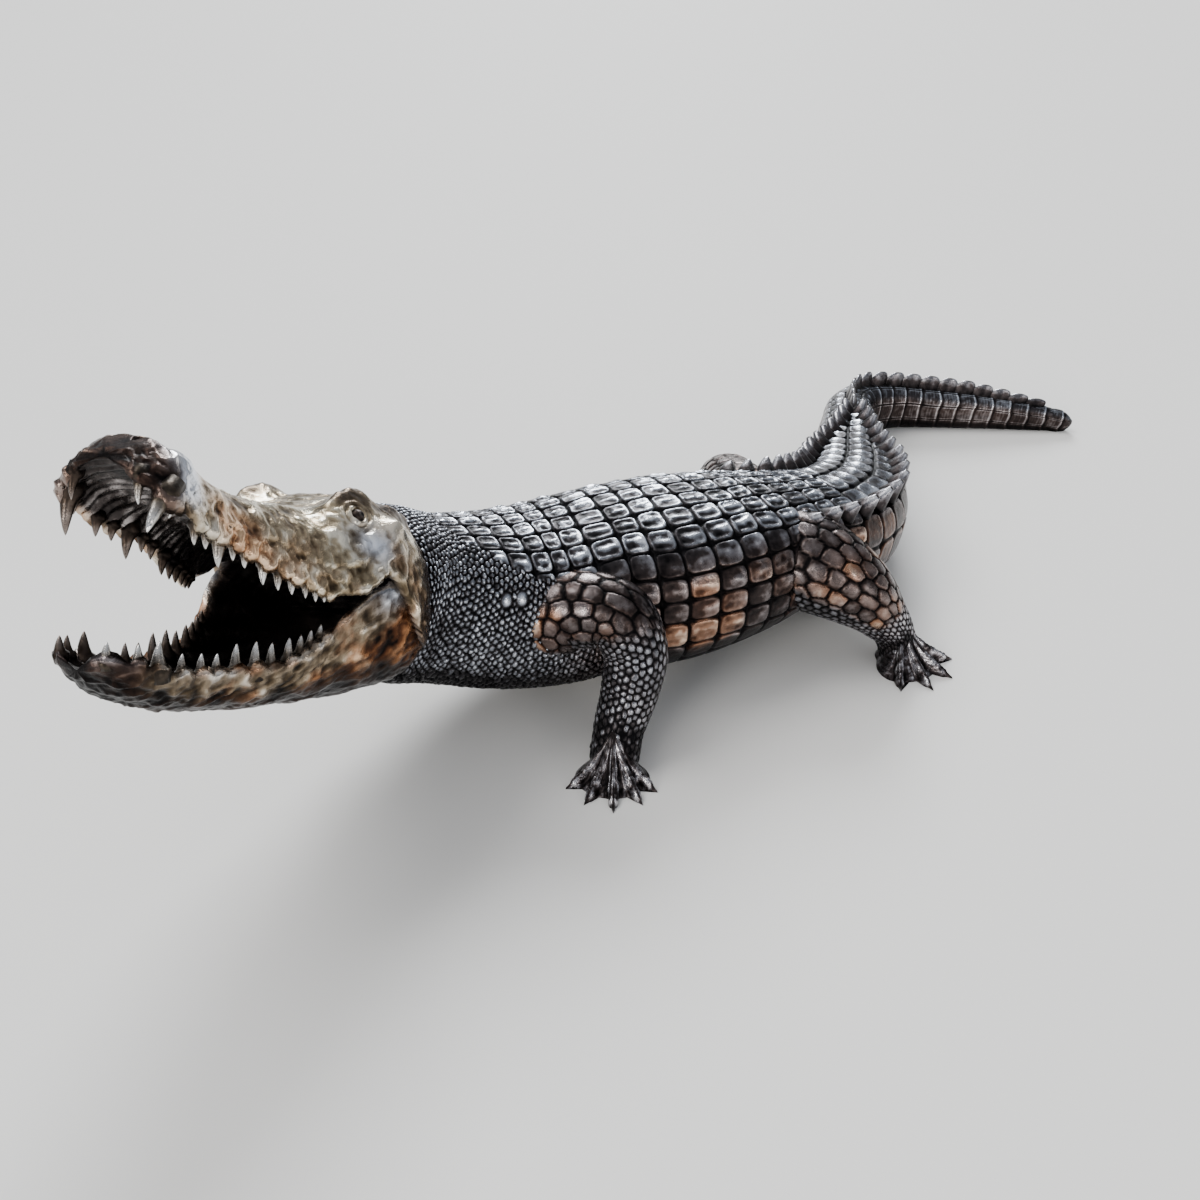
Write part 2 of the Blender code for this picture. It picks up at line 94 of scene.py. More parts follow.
# Rows of plates along the spine, and columns of them round the body
ROW_PITCH = 0.061
COLUMNS = 24
MIDBACK = COLUMNS / 2
BELLY_COLUMNS = 4       # coarse ones, on each side of the belly's middle
GROOVE = 0.0105         # depth of the grooves between the back's plates
FULL_GIRTH = 1.05       # below this girth the grooves get shallower
PIT_SIZE = 0.016
NECK_END = 0.21         # where the pebbled neck meets the first back plates, along the spine
SHOULDER_REACH = 0.34   # how much further back the pebbles run on the flanks
PEBBLE = 0.0125         # size of the neck's pebbles
PEBBLES_AROUND = 82
PEBBLE_SLANT = math.radians(33)
SHOULDER_BOSSES = ((0.290, 4.2), (0.328, 4.1))     # along the spine, and columns from midback
BOSS_RADIUS = 0.0170
COLUMN_WIDTH = 0.044    # of one column of plates at the shoulder
TAIL_START = 1.25
WHORLS_START = 2.20
# Stretches: first and last row, then samples a row and a column, fine and coarse; None is the tail's tip
BODY_PARTS = {
    "neck_and_shoulders": (0, 11, 21, 18, 8),
    "trunk": (11, 21, 20, 18, 8),
    "tail_root": (21, 36, 16, 13, 7),
    "tail": (36, None, 18, 9, 5),
}

# Head: length from the jaw's hinge to the snout's tip, and its pose
HEAD_LENGTH = 0.63
HEAD_AT = np.array((-0.724, -0.050, 0.429))
HEAD_TURN = math.radians(40.0)
HEAD_ROLL = math.radians(8.7)
UPPER_PITCH = math.radians(41.5)
LOWER_PITCH = math.radians(18.5)
# Rings along each jaw, then samples round its outside and its inside
UPPER_MESH = (250, 190, 40)
LOWER_MESH = (200, 120, 40)
# Upper jaw, in shares of the head's length: along, half width, top, lip, roof of the mouth
UPPER_JAW = np.array((
    (-0.12, 0.200, 0.110, -0.150, -0.120),
    (0.00, 0.300, 0.180, -0.190, -0.100),
    (0.10, 0.335, 0.205, -0.150, -0.030),
    (0.18, 0.326, 0.202, -0.080, -0.010),
    (0.25, 0.305, 0.180, -0.030, -0.010),
    (0.33, 0.280, 0.140, -0.095, -0.015),
    (0.40, 0.250, 0.108, -0.118, -0.010),
    (0.50, 0.208, 0.090, -0.105, -0.003),
    (0.60, 0.172, 0.080, -0.090, 0.000),
    (0.72, 0.150, 0.078, -0.062, 0.005),
    (0.82, 0.154, 0.098, -0.058, 0.015),
    (0.90, 0.160, 0.118, -0.038, 0.028),
    (0.965, 0.128, 0.106, 0.000, 0.038),
    (1.000, 0.070, 0.074, 0.036, 0.050),
))
# Lower jaw: along, half width, underside, lip, floor of the mouth
LOWER_JAW = np.array((
    (-0.12, 0.190, -0.250, -0.080, -0.100),
    (0.02, 0.295, -0.320, -0.060, -0.110),
    (0.12, 0.315, -0.325, -0.005, -0.160),
    (0.20, 0.305, -0.318, 0.035, -0.185),
    (0.27, 0.283, -0.305, 0.018, -0.198),
    (0.35, 0.248, -0.290, -0.030, -0.205),
    (0.42, 0.220, -0.276, -0.085, -0.200),
    (0.52, 0.185, -0.256, -0.118, -0.188),
    (0.65, 0.150, -0.225, -0.105, -0.155),
    (0.78, 0.132, -0.185, -0.080, -0.120),
    (0.88, 0.127, -0.140, -0.040, -0.080),
    (0.945, 0.105, -0.095, -0.010, -0.045),
    (0.985, 0.050, -0.050, 0.000, -0.025),
))
MOUTH_WIDTH = 0.90      # the hollow's width in shares of the jaw's
SOCKET_WIDTH = 0.017    # the lip's swelling over a tooth of 8 mm radius
LIP_WAVE = 0.012        # how much the lip's line rises and falls with its swellings
# Raised forms on the upper head, both sides: along, out, up, then their spreads and height in metres
HEAD_FORMS = (
    (0.365, 0.150, 0.160, 0.085, 0.018, 0.045, 0.010),
    (0.130, 0.190, 0.165, 0.050, 0.030, 0.050, 0.012),
    (0.060, 0.180, 0.160, 0.030, 0.035, 0.040, 0.014),
    (0.215, 0.262, 0.105, 0.036, 0.045, 0.026, 0.016),
    (0.480, 0.085, 0.080, 0.090, 0.020, 0.040, 0.006),
    (0.900, 0.090, 0.080, 0.050, 0.040, 0.060, 0.005),
    (0.780, 0.120, 0.030, 0.040, 0.030, 0.040, 0.006),
)
# Eye mounds: middle along and out, their reach, and height, in shares of the head's length
MOUND_ALONG = 0.305
MOUND_OUT = 0.160
MOUND_REACH = (0.130, 0.082)
MOUND_RISE = 0.050
NOSTRIL_AT = (0.945, 0.032)
EYE_AT = (0.315, 0.203, 0.112)
EYE_RADIUS = 0.0130
# Rings of the lids, in metres: radius, spread and rise
LIDS = (
    (0.0170, 0.0030, 0.0050), (0.0222, 0.0024, -0.0045),
    (0.0270, 0.0032, 0.0014), (0.0320, 0.0026, -0.0012),
)

# Limbs: x, y, z and radius from the root inside the body to the wrist or ankle
NEAR_ARM = np.array((
    (-0.340, 0.000, 0.215, 0.085),
    (-0.340, -0.085, 0.245, 0.098),
    (-0.285, -0.160, 0.292, 0.084),
    (-0.226, -0.216, 0.290, 0.074),
    (-0.204, -0.252, 0.226, 0.068),
    (-0.228, -0.280, 0.145, 0.061),
    (-0.264, -0.306, 0.080, 0.054),
    (-0.288, -0.332, 0.020, 0.052),
    (-0.292, -0.338, 0.004, 0.050),
))
FAR_ARM = np.array((
    (-0.330, 0.060, 0.215, 0.085),
    (-0.320, 0.150, 0.225, 0.092),
    (-0.255, 0.235, 0.220, 0.072),
    (-0.210, 0.290, 0.180, 0.062),
    (-0.225, 0.345, 0.110, 0.052),
    (-0.250, 0.385, 0.060, 0.046),
    (-0.265, 0.410, 0.018, 0.046),
    (-0.267, 0.413, 0.004, 0.045),
))
NEAR_LEG = np.array((
    (0.260, 0.010, 0.225, 0.100),
    (0.275, -0.080, 0.240, 0.118),
    (0.320, -0.160, 0.232, 0.110),
    (0.385, -0.222, 0.186, 0.087),
    (0.440, -0.248, 0.125, 0.062),
    (0.478, -0.262, 0.070, 0.048),
    (0.488, -0.275, 0.018, 0.046),
    (0.489, -0.277, 0.004, 0.045),
))
FAR_LEG = np.array((
    (0.290, 0.060, 0.215, 0.100),
    (0.315, 0.160, 0.218, 0.112),
    (0.350, 0.270, 0.208, 0.098),
    (0.385, 0.370, 0.188, 0.082),
    (0.410, 0.440, 0.130, 0.060),
    (0.415, 0.500, 0.070, 0.048),
    (0.415, 0.525, 0.018, 0.046),
    (0.415, 0.527, 0.004, 0.045),
))
# Limbs: path, rings, sides, scales round it, scale length, share with large scales, side of the body, copper
LIMBS = {
    "near_arm": (NEAR_ARM, 220, 160, 14, 0.034, 0.50, -1, 0.9),
    "near_leg": (NEAR_LEG, 190, 160, 18, 0.036, 0.72, -1, 0.8),
    "far_arm": (FAR_ARM, 110, 80, 14, 0.034, 0.50, 1, 0.5),
    "far_leg": (FAR_LEG, 120, 90, 18, 0.036, 0.72, 1, 0.5),
}
SMALL_SCALE = 0.52      # length of a small scale in shares of a large one
SCALE_JITTER = 0.42
BIG_SCALE_DEPTH = 0.0075
SMALL_SCALE_DEPTH = 0.0044
# Feet: ankle on the floor, heading of the middle, each toe's turn from it, toe length
FEET = {
    "near_hand": ((-0.296, -0.342), 247.0, (-62, -32, -2, 28, 52), 0.125),
    "far_hand": ((-0.265, 0.412), 95.0, (-55, -28, 0, 28, 55), 0.120),
    "near_foot": ((0.488, -0.272), 285.0, (-48, -16, 14, 46), 0.145),
    "far_foot": ((0.415, 0.527), 98.0, (-42, -14, 14, 42), 0.150),
}
FOOT_ROWS = 38
FOOT_PER_GAP = 28       # directions between two toes
FOOT_HEIGHT = 0.105     # of the cone under the ankle
HEEL_REACH = 0.050
TOE_HALF_WIDTH = 0.0135
TOE_HEIGHT = 0.020
NAIL_HALF_WIDTH = 0.0066
WRINKLE_PITCH = 0.0085
WEB_REACH = 0.78        # of the skin between two toes, in shares of their length
WEB_SCALLOP = 0.24
WEB_THICK = 0.008
FOOT_BUMP = 0.0070

# Upright scales of the tail: two rows, then one crest
CREST_START = 1.02
CREST_MERGE = 2.08
CREST_END = 2.96
CREST_HEIGHT = 0.046
CREST_THICK = 0.013
CREST_LEAN = math.radians(32.0)
CREST_OUT = 0.74        # how far out the two rows stand, in shares of the tail's half width
CREST_RAMP = 0.5        # distance along the tail over which its rows merge, and its scales grow or shrink

# Teeth of one side: along the jaw, then length and base radius in metres
UPPER_TEETH = (
    (0.982, 0.036, 0.0085), (0.945, 0.062, 0.0130), (0.920, 0.020, 0.0065), (0.845, 0.026, 0.0080),
    (0.800, 0.022, 0.0075), (0.750, 0.042, 0.0110), (0.700, 0.022, 0.0075), (0.660, 0.022, 0.0075),
    (0.600, 0.030, 0.0090), (0.555, 0.028, 0.0085), (0.515, 0.026, 0.0085), (0.475, 0.022, 0.0075),
    (0.445, 0.020, 0.0070), (0.420, 0.016, 0.0065),
)
LOWER_TEETH = (
    (0.965, 0.026, 0.0085), (0.915, 0.028, 0.0080), (0.865, 0.040, 0.0115), (0.800, 0.028, 0.0080),
    (0.745, 0.030, 0.0080), (0.700, 0.028, 0.0080), (0.645, 0.040, 0.0095), (0.590, 0.042, 0.0100),
    (0.545, 0.036, 0.0090), (0.495, 0.034, 0.0090), (0.460, 0.028, 0.0080), (0.430, 0.024, 0.0075),
    (0.400, 0.018, 0.0065),
)
GUM_INSET = 0.90
# Places along a tooth and its girth there, in shares of its length and radius
TOOTH_SHARES = (-0.5, -0.05, 0.05, 0.16, 0.34, 0.52, 0.70, 0.84, 0.94, 1.0)
TOOTH_GIRTHS = (1.30, 1.55, 1.35, 0.98, 0.80, 0.66, 0.49, 0.33, 0.17, 0.03)
TOOTH_SIDES = 12
TOOTH_RAKE = 0.05
FANG_RAKE = 0.60
# Share of the painted highlight and sheen left on the far teeth, which are painted duller as in shade
FAR_TEETH_HIGHLIGHT = 0.35        # the far teeth are duller

# Colours from the hollows to the rubbed high places; the silver one is a painted reflection of the sky
BROWN = (
    (0.15, (0.0035, 0.0025, 0.0025)), (0.45, (0.030, 0.018, 0.014)),
    (0.75, (0.150, 0.100, 0.078)), (1.0, (0.50, 0.41, 0.36)),
)
COPPER = (
    (0.15, (0.005, 0.0025, 0.002)), (0.45, (0.085, 0.032, 0.014)),
    (0.75, (0.34, 0.155, 0.068)), (1.0, (0.78, 0.50, 0.30)),
)
PALE_GOLD = (
    (0.15, (0.008, 0.006, 0.004)), (0.42, (0.13, 0.095, 0.055)),
    (0.72, (0.44, 0.36, 0.24)), (1.0, (0.88, 0.82, 0.66)),
)
# Painted sky sheen: a blue-white reflection of the sky, painted brighter on the high places
PAINTED_SKY_SHEEN = (
    (0.15, (0.004, 0.004, 0.005)), (0.48, (0.040, 0.038, 0.042)),
    (0.72, (0.25, 0.27, 0.31)), (1.0, (0.82, 0.87, 0.96)),
)
MOUTH = ((0.2, (0.004, 0.004, 0.004)), (0.6, (0.050, 0.042, 0.040)), (1.0, (0.34, 0.31, 0.30)))

# Studio
FLOOR_HALF = 40.0
FLOOR_COLOUR = (0.80, 0.79, 0.77, 1.0)
CAMERA_HEIGHT = 1.5
CAMERA_X = -1.009 - FOOTPRINT_X
CAMERA_Y = -1.808 - FOOTPRINT_Y
CAMERA_DOWN = math.radians(33.4)
CAMERA_TURN = math.radians(-25.0)
LENS_MM = 31.5
SENSOR_MM = 36.0
# The room's colour by height, from the floor's far edge to overhead
ROOM_GLOW = (
    (0.0, (0.66, 0.66, 0.66)), (0.10, (0.38, 0.39, 0.41)), (0.25, (0.32, 0.34, 0.37)),
    (0.55, (0.64, 0.68, 0.75)), (1.0, (0.95, 0.97, 1.0)),
)
# Lights: where each stands as seen from the statue, softness, strength and colour
SUNS = (
    ("back_sun", (1.1, 2.2, 1.65), 24.0, 3.2, (0.95, 0.98, 1.0)),
    ("top_sun", (-1.3, 1.1, 2.6), 36.0, 1.8, (1.0, 0.99, 0.97)),
    ("side_sun", (-3.1, -1.9, 1.25), 22.0, 1.3, (1.0, 0.96, 0.90)),
    ("low_sun", (0.6, -3.4, 0.75), 18.0, 0.6, (1.0, 0.96, 0.92)),
)


# Curves and frames

def smooth(keys, rows, at):
    """Rows at any place between their keys, on a smooth curve through all of them."""
    at = np.clip(np.asarray(at, float), keys[0], keys[-1])
    slopes = np.gradient(rows, keys, axis=0)
    i = np.clip(np.searchsorted(keys, at, side="right") - 1, 0, len(keys) - 2)
    span = keys[i + 1] - keys[i]
    t = (at - keys[i]) / span
    if rows.ndim > 1:
        t = t[..., None]
        span = span[..., None]
    low = (1 + 2 * t) * (1 - t) ** 2 * rows[i] + t * (1 - t) ** 2 * span * slopes[i]
    high = t * t * (3 - 2 * t) * rows[i + 1] + t * t * (t - 1) * span * slopes[i + 1]
    return low + high


def unit(v):
    return v / (np.linalg.norm(v, axis=-1, keepdims=True) + 1e-12)


def chord_keys(points):
    """Distance along a polyline at each of its points."""
    steps = np.linalg.norm(np.diff(points, axis=0), axis=1)
    return np.concatenate([[0.0], np.cumsum(steps)])


def step_up(low, high, x):
    """0 below low, 1 above high, and a smooth rise between."""
    t = np.clip((x - low) / (high - low), 0.0, 1.0)
    return t * t * (3 - 2 * t)


def bell(x, width):
    return np.exp(-((x / width) ** 2))


def blend(a, b, share):
    return a + (b - a) * share


SPINE_KEYS = chord_keys(SPINE[:, :3])
SPINE_LENGTH = SPINE_KEYS[-1]


def frame_along(keys, points, s):
    """Centre, sideways, upward and forward directions of a curve at distances s, with no roll."""
    step = 1e-3
    centre = smooth(keys, points, s)
    ahead = unit(smooth(keys, points, s + step) - smooth(keys, points, s - step))
    side = unit(np.cross(ahead, (0.0, 0.0, 1.0)))
    return centre, side, np.cross(side, ahead), ahead


# Noise and scale patterns, worked out per point

def hashed(a, b, c, seed):
    """A repeatable number from 0 to 1 for each whole-number place."""
    h = (a.astype(np.int64) * 73856093) ^ (b.astype(np.int64) * 19349663)
    h = h ^ (np.asarray(c).astype(np.int64) * 83492791) ^ (seed * 2654435)
    h = (h ^ (h >> 13)) * 1274126177 & 0x7FFFFFFF
    h = (h ^ (h >> 15)) * 668265263 & 0x7FFFFFFF
    return ((h ^ (h >> 16)) & 0xFFFF) / 65535.0


def noise(points, size, seed):
    """Smooth noise from -1 to 1, whose lumps are about size across."""
    p = points / size
    cell = np.floor(p)
    f = p - cell
    f = f * f * (3 - 2 * f)
    total = 0.0
    for corner in range(8):
        offset = np.array([corner & 1, corner >> 1 & 1, corner >> 2 & 1])
        at = cell + offset
        weight = np.prod(np.where(offset, f, 1 - f), axis=-1)
        total = total + weight * hashed(at[..., 0], at[..., 1], at[..., 2], seed)
    return 2 * total - 1


def rough(points, size, seed, octaves=3):
    """Noise with finer and finer detail."""
    total = 0.0
    for k in range(octaves):
        total = total + noise(points, size / 2**k, seed + k) / 1.7**k
    return total / 1.6


def pebbles(u, w, jitter, seed, around=None):
    """Jittered brick-bond cells: distance to the nearest middle, gap to the next one, and a number."""
    row0 = np.floor(w)
    near = np.full(u.shape, 9.0)
    second = np.full(u.shape, 9.0)
    tag = np.zeros(u.shape)
    for dj in (-1, 0, 1):
        row = row0 + dj
        name = row if around is None else np.mod(row, around)
        shift = 0.5 * np.mod(row, 2)
        column0 = np.floor(u - shift)
        for di in (-1, 0, 1):
            column = column0 + di
            x = column + shift + 0.5 + jitter * (hashed(column, name, np.int64(1), seed) - 0.5)
            y = row + 0.5 + jitter * (hashed(column, name, np.int64(2), seed) - 0.5)
            d = np.hypot(u - x, w - y)
            closer = d < near
            second = np.where(closer, near, np.minimum(second, d))
            tag = np.where(closer, hashed(column, name, np.int64(3), seed), tag)
            near = np.where(closer, d, near)
    return near, second - near, tag


def pebble_height(u, w, jitter, seed, around=None, crisp=0.22):
    """Domed pebbles from 0 in the grooves to 1 on top, and each pebble's own number."""
    near, gap, tag = pebbles(u, w, jitter, seed, around)
    dome = step_up(0.0, crisp, gap) * (1.0 - 0.55 * near**2)
    return dome * (0.82 + 0.18 * tag), tag


def scute_height(a, b, tag, rim, keel):
    """A squarish plate: 0 in the groove, a raised rim, a sunk field and a low keel along it."""
    reach = (np.abs(a) ** 4.2 + np.abs(b) ** 4.2) ** (1 / 4.2)
    plate = step_up(1.03, 0.85, reach)
    field = 1 - step_up(0.35, 0.85, reach)
    off_middle = b + 0.35 * (tag - 0.5)
    ridge = np.clip(1 - np.abs(off_middle) / 0.55, 0, 1) ** 1.6 * (1 - 0.5 * (a - 0.3) ** 2)
    dome = 0.10 * (1 - reach**2)
    raised = 0.74 + dome + 0.12 * rim * bell(reach - 0.80, 0.12)
    return plate * (raised - 0.26 * rim * field + keel * ridge * field)


# Meshes

def grid_normals(grid):
    """Outward directions of a ring grid, from its neighbours."""
    along = np.gradient(grid, axis=0)
    around = np.roll(grid, -1, axis=1) - np.roll(grid, 1, axis=1)
    normal = unit(np.cross(along, around))
    middle = grid.mean(axis=1, keepdims=True)
    facing = np.sum(normal * (grid - middle))
    return normal if facing > 0 else -normal


def place(points):
    """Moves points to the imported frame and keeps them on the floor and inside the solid's box."""
    moved = points - np.array((FOOTPRINT_X, FOOTPRINT_Y, 0.0))
    low, high = size_before
    return np.clip(moved, np.array(low) + CLEARANCE, np.array(high) - CLEARANCE)


def skin_object(name, grid, material, marks):
    """A closed mesh over rings of points, with a number per point for each mark."""
    rows, count = grid.shape[:2]
    points = place(grid).reshape(-1, 3)
    index = np.arange(rows * count).reshape(rows, count)
    beside = np.roll(index, -1, axis=1)
    quads = np.stack([index[:-1], beside[:-1], beside[1:], index[1:]], axis=-1).reshape(-1, 4)
    # A fan of triangles closes each end
    middles = []
    fans = []
    for ring in (index[0][::-1], index[-1]):
        middle = np.full(count, len(points) + len(middles))
        middles.append(points[ring].mean(axis=0))
        fans.append(np.stack([middle, ring, np.roll(ring, -1)], axis=-1))
    points = np.concatenate([points, middles])
    loops = np.concatenate([quads.ravel(), fans[0].ravel(), fans[1].ravel()])
    sizes = np.repeat((4, 3), (len(quads), 2 * count))
    mesh = bpy.data.meshes.new(name)
    mesh.vertices.add(len(points))
    mesh.vertices.foreach_set("co", points.ravel())
    mesh.loops.add(len(loops))
    mesh.loops.foreach_set("vertex_index", loops)
    mesh.polygons.add(len(sizes))
    mesh.polygons.foreach_set("loop_start", np.concatenate([[0], np.cumsum(sizes)[:-1]]))
    mesh.update(calc_edges=True)
    mesh.polygons.foreach_set("use_smooth", np.ones(len(sizes), bool))
    for mark, values in marks.items():
        layer = mesh.attributes.new(mark, "FLOAT", "POINT")
        flat = np.zeros(len(points))
        flat[:rows * count] = np.broadcast_to(values, (rows, count)).ravel()
        layer.data.foreach_set("value", flat)
    return add_piece(name, mesh, material)


def add_piece(name, mesh, material):
    """Links a mesh as a piece of the statue."""
    mesh.materials.append(material)
    piece = bpy.data.objects.new(name, mesh)
    bpy.context.scene.collection.objects.link(piece)
    if signed_volume(mesh) < 0:
        mesh.flip_normals()
    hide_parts(NODE)
    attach(piece, "root")
    return piece


def signed_volume(mesh):
    """A number below 0 where a mesh's faces point inwards."""
    mesh.calc_loop_triangles()
    corners = np.zeros(len(mesh.loop_triangles) * 3, np.int32)
    mesh.loop_triangles.foreach_get("vertices", corners)
    places = np.zeros(len(mesh.vertices) * 3)
    mesh.vertices.foreach_get("co", places)
    tri = places.reshape(-1, 3)[corners.reshape(-1, 3)]
    return float(np.einsum("ij,ij->i", tri[:, 0], np.cross(tri[:, 1], tri[:, 2])).sum())


# Trunk, neck and tail

def even_section(half_width, rise, drop, places):
    """Points round a body section at shares of its girth from the belly's middle, and the girth."""
    fine = np.linspace(-math.pi, math.pi, 481)
    across = np.sin(fine)
    upward = np.cos(fine)
    power = 2.0 / BOXINESS
    y = half_width * np.sign(across) * np.abs(across) ** power
    z = np.where(upward > 0, rise, drop) * np.sign(upward) * np.abs(upward) ** power
    run = np.concatenate([[0.0], np.cumsum(np.hypot(np.diff(y), np.diff(z)))])
    return np.interp(places * run[-1], run, y), np.interp(places * run[-1], run, z), run[-1]


def body_places(fine, coarse):
    """Columns' sample places from 0 to 24: fine on the back and flanks, coarse under the belly."""
    places = []
    for column in range(COLUMNS):
        from_belly = min(column, COLUMNS - 1 - column)
        count = coarse if from_belly < BELLY_COLUMNS else fine
        places.append(column + np.arange(count) / count)
    return np.concatenate(places)


def back_plates(s, v, a, b, side, tag, turn):
    """Back and flanks: one plate a column, each a little tilted and pitted."""
    tilt = 0.12 * a + 0.16 * (turn - 0.5) * b
    spots = np.stack([s, v * 0.054, 7 * tag], axis=-1)
    pits = rough(spots, PIT_SIZE, 31, 2) * (1 - 0.85 * step_up(1.05, 1.35, s))
    pits = pits * (1 - step_up(0.65, 0.95, np.maximum(np.abs(a), np.abs(b))))
    back = (scute_height(a, b, tag, 1.0, 0.52) + 0.30 * pits) * (0.86 + 0.20 * tag) + tilt
    flank = (scute_height(a, b, tag, 0.40, 0.16) + 0.20 * pits) * (0.80 + 0.26 * tag) + tilt
    return blend(back, flank, step_up(2.9, 3.1, side))


def tail_plates(v, a, side, row):
    """The tail's root: plates two columns wide, with a rising keel on those on top."""
    pair = np.floor((v + 0.5) / 2)
    b = v + 0.5 - 2 * pair - 1
    tag = hashed(pair, row, np.int64(6), 22)
    on_top = 1 - step_up(3.0, 3.6, side)
    plates = scute_height(a, b, tag, 0.5, 0.0) + 0.42 * on_top * bell(b, 0.34) * (0.5 + 0.5 * a)
    return plates * (0.85 + 0.2 * tag) + 0.10 * a


def tail_whorls(v, a):
    """The tail's far stretch: plates three columns tall, edged by a thin raised line."""
    third = np.floor(v / 3 + 0.5)
    b = 2 * (v / 3 + 0.5 - third) - 1
    plates = 0.42 + 0.28 * step_up(1.02, 0.86, (np.abs(a) ** 5 + np.abs(b) ** 5) ** 0.2)
    plates = plates + 0.28 * bell(a - 0.72, 0.10) + 0.20 * bell(np.abs(b) - 0.86, 0.08)
    return plates + 0.05 * np.sin(6 * math.pi * a) * (1 - np.abs(a))


def neck_pebbles(s, v):
    """Neck and shoulders: small pebbles in slanting rows, and each one's own number."""
    run = s / PEBBLE
    over = v * PEBBLES_AROUND / COLUMNS
    u = run * math.cos(PEBBLE_SLANT) + over * math.sin(PEBBLE_SLANT)
    w = over * math.cos(PEBBLE_SLANT) - run * math.sin(PEBBLE_SLANT)
    small, tag = pebble_height(u, w, 0.58, 41, None, 0.30)
    return 0.10 + 0.85 * small, tag


def body_skin(s, v):
    """Height of the hide at (distance along, column), in groove depths, and each scale's number."""
    flat = np.stack([s, v * 0.05, np.zeros_like(s)], axis=-1)
    wander_s = s + 0.0050 * noise(flat, 0.11, 5)
    wander_v = v + 0.13 * noise(flat, 0.09, 9)
    side = np.abs(wander_v - MIDBACK)
    row = np.floor(wander_s / ROW_PITCH)
    column = np.floor(wander_v)
    a = 2 * (wander_s / ROW_PITCH - row) - 1
    b = 2 * (wander_v - column) - 1
    tag = hashed(column, row, np.int64(4), 21)
    turn = hashed(column, row, np.int64(5), 23)
    height = back_plates(s, v, a, b, side, tag, turn)

    # Belly: flat plates with fine lines between them
    belly = 0.62 * scute_height(a, b, tag, 0.0, 0.0)
    height = blend(height, belly, step_up(7.0, 7.6, side))

    row_at = row * ROW_PITCH
    on_tail = (row_at > TAIL_START - 0.5 * ROW_PITCH).astype(float)
    height = blend(height, tail_plates(wander_v, a, side, row), on_tail)
    in_whorls = (row_at > WHORLS_START).astype(float)
    height = blend(height, tail_whorls(wander_v, a), in_whorls)

    shoulder_end = NECK_END + SHOULDER_REACH * step_up(1.2, 5.0, side) + 0.05 * noise(flat, 0.06, 3)
    on_neck = 1 - step_up(-0.012, 0.012, s - shoulder_end)
    small, small_tag = neck_pebbles(s, v)
    height = blend(height, small, on_neck)
    # Smooth round bosses in front of each shoulder
    for at, out in SHOULDER_BOSSES:
        reach = np.hypot(s - at, (side - out) * COLUMN_WIDTH) / BOSS_RADIUS
        height = np.where(reach < 1, 0.25 + 0.72 * np.sqrt(np.clip(1 - reach**2, 0, 1)), height)
    return height, blend(tag, small_tag, on_neck)


def body_patina(s, v, height, tag):
    """Where the hide is rubbed, where it is copper, and where a silver sky sheen is painted on."""
    side = np.abs(v - MIDBACK)
    copper = step_up(3.0, 5.0, side) * (1 - step_up(7.0, 8.5, side))
    copper = copper * step_up(0.45, 0.7, s) * (0.66 - 0.60 * step_up(1.9, 2.3, s))
    copper = copper * step_up(0.15, 0.75, tag)
    # Painted sky sheen: a blue-white reflection painted over the back and neck, with less of it on the
    # flanks and tail
    painted_sheen = 1 - 0.62 * step_up(2.6, 4.2, side) * step_up(0.40, 0.60, s)
    belly = step_up(7.2, 9.0, side)
    relief = np.clip(1.45 * height - 0.52, 0, 1.15) * (1 - 0.55 * belly)
    return {"relief": relief, "copper": copper, "painted_sheen": painted_sheen}


def make_body_part(name, first_row, last_row, per_row, fine, coarse, material):
    """One stretch of the hide; stretches meet in a groove between two rows of plates."""
    start = first_row * ROW_PITCH
    end = SPINE_LENGTH if last_row is None else last_row * ROW_PITCH
    rows = int(round((end - start) / ROW_PITCH * per_row))
    s = np.linspace(start, end, rows + 1)
    v = body_places(fine, coarse)
    sizes = smooth(SPINE_KEYS, SPINE, s)
    # The tail's tip is a rounded leaf
    t = np.clip((s - SPINE_LENGTH) / TIP_ROUNDING + 1, 0, 1)
    sizes[:, 3:] *= ((1 + 0.9 * t) * np.sqrt(np.maximum(1 - t**3, 0.01)))[:, None]
    centre, side, up, _ = frame_along(SPINE_KEYS, SPINE[:, :3], s)
    grid = np.zeros((len(s), len(v), 3))
    girth = np.zeros(len(s))
    for k in range(len(s)):
        y, z, girth[k] = even_section(*sizes[k, 3:6], v / COLUMNS)
        grid[k] = centre[k] + side[k] * y[:, None] + up[k] * z[:, None]
    normal = grid_normals(grid)
    ss, vv = np.meshgrid(s, v, indexing="ij")
    height, tag = body_skin(ss, vv)
    depth = GROOVE * np.clip(girth / FULL_GIRTH, 0.42, 1.0)[:, None]
    grid = grid + normal * (depth * (height - 0.75))[..., None]
    grid[..., 2] = np.maximum(grid[..., 2], CLEARANCE)
    return skin_object(name, grid, material, body_patina(ss, vv, height, tag))


# Head

def head_axes(pitch):
    """Forward, left and up directions of a jaw that is pitched up by an angle."""
    forward = np.array([
        -math.cos(HEAD_TURN) * math.cos(pitch),
        -math.sin(HEAD_TURN) * math.cos(pitch),
        math.sin(pitch),
    ])
    left = np.array([math.sin(HEAD_TURN), -math.cos(HEAD_TURN), 0.0])
    up = np.cross(forward, left)
    left = left * math.cos(HEAD_ROLL) + up * math.sin(HEAD_ROLL)
    return np.array([forward, left, np.cross(forward, left)])


def in_head(points, pitch):
    """World places of points given in shares of the head's length."""
    return HEAD_AT + HEAD_LENGTH * np.asarray(points, float) @ head_axes(pitch)


def socket_swell(along, teeth, width):
    """The lip's swelling over each tooth's root."""
    swell = np.zeros_like(along)
    for at, _, radius in teeth:
        swell = np.maximum(swell, bell(along - at, width * radius / 0.008) * (0.5 + radius / 0.016))
    return swell


def spaced(low, high, count, power):
    """Places from low to high, closer together near the high end."""
    return low + (high - low) * (1 - (1 - np.linspace(0, 1, count)) ** power)


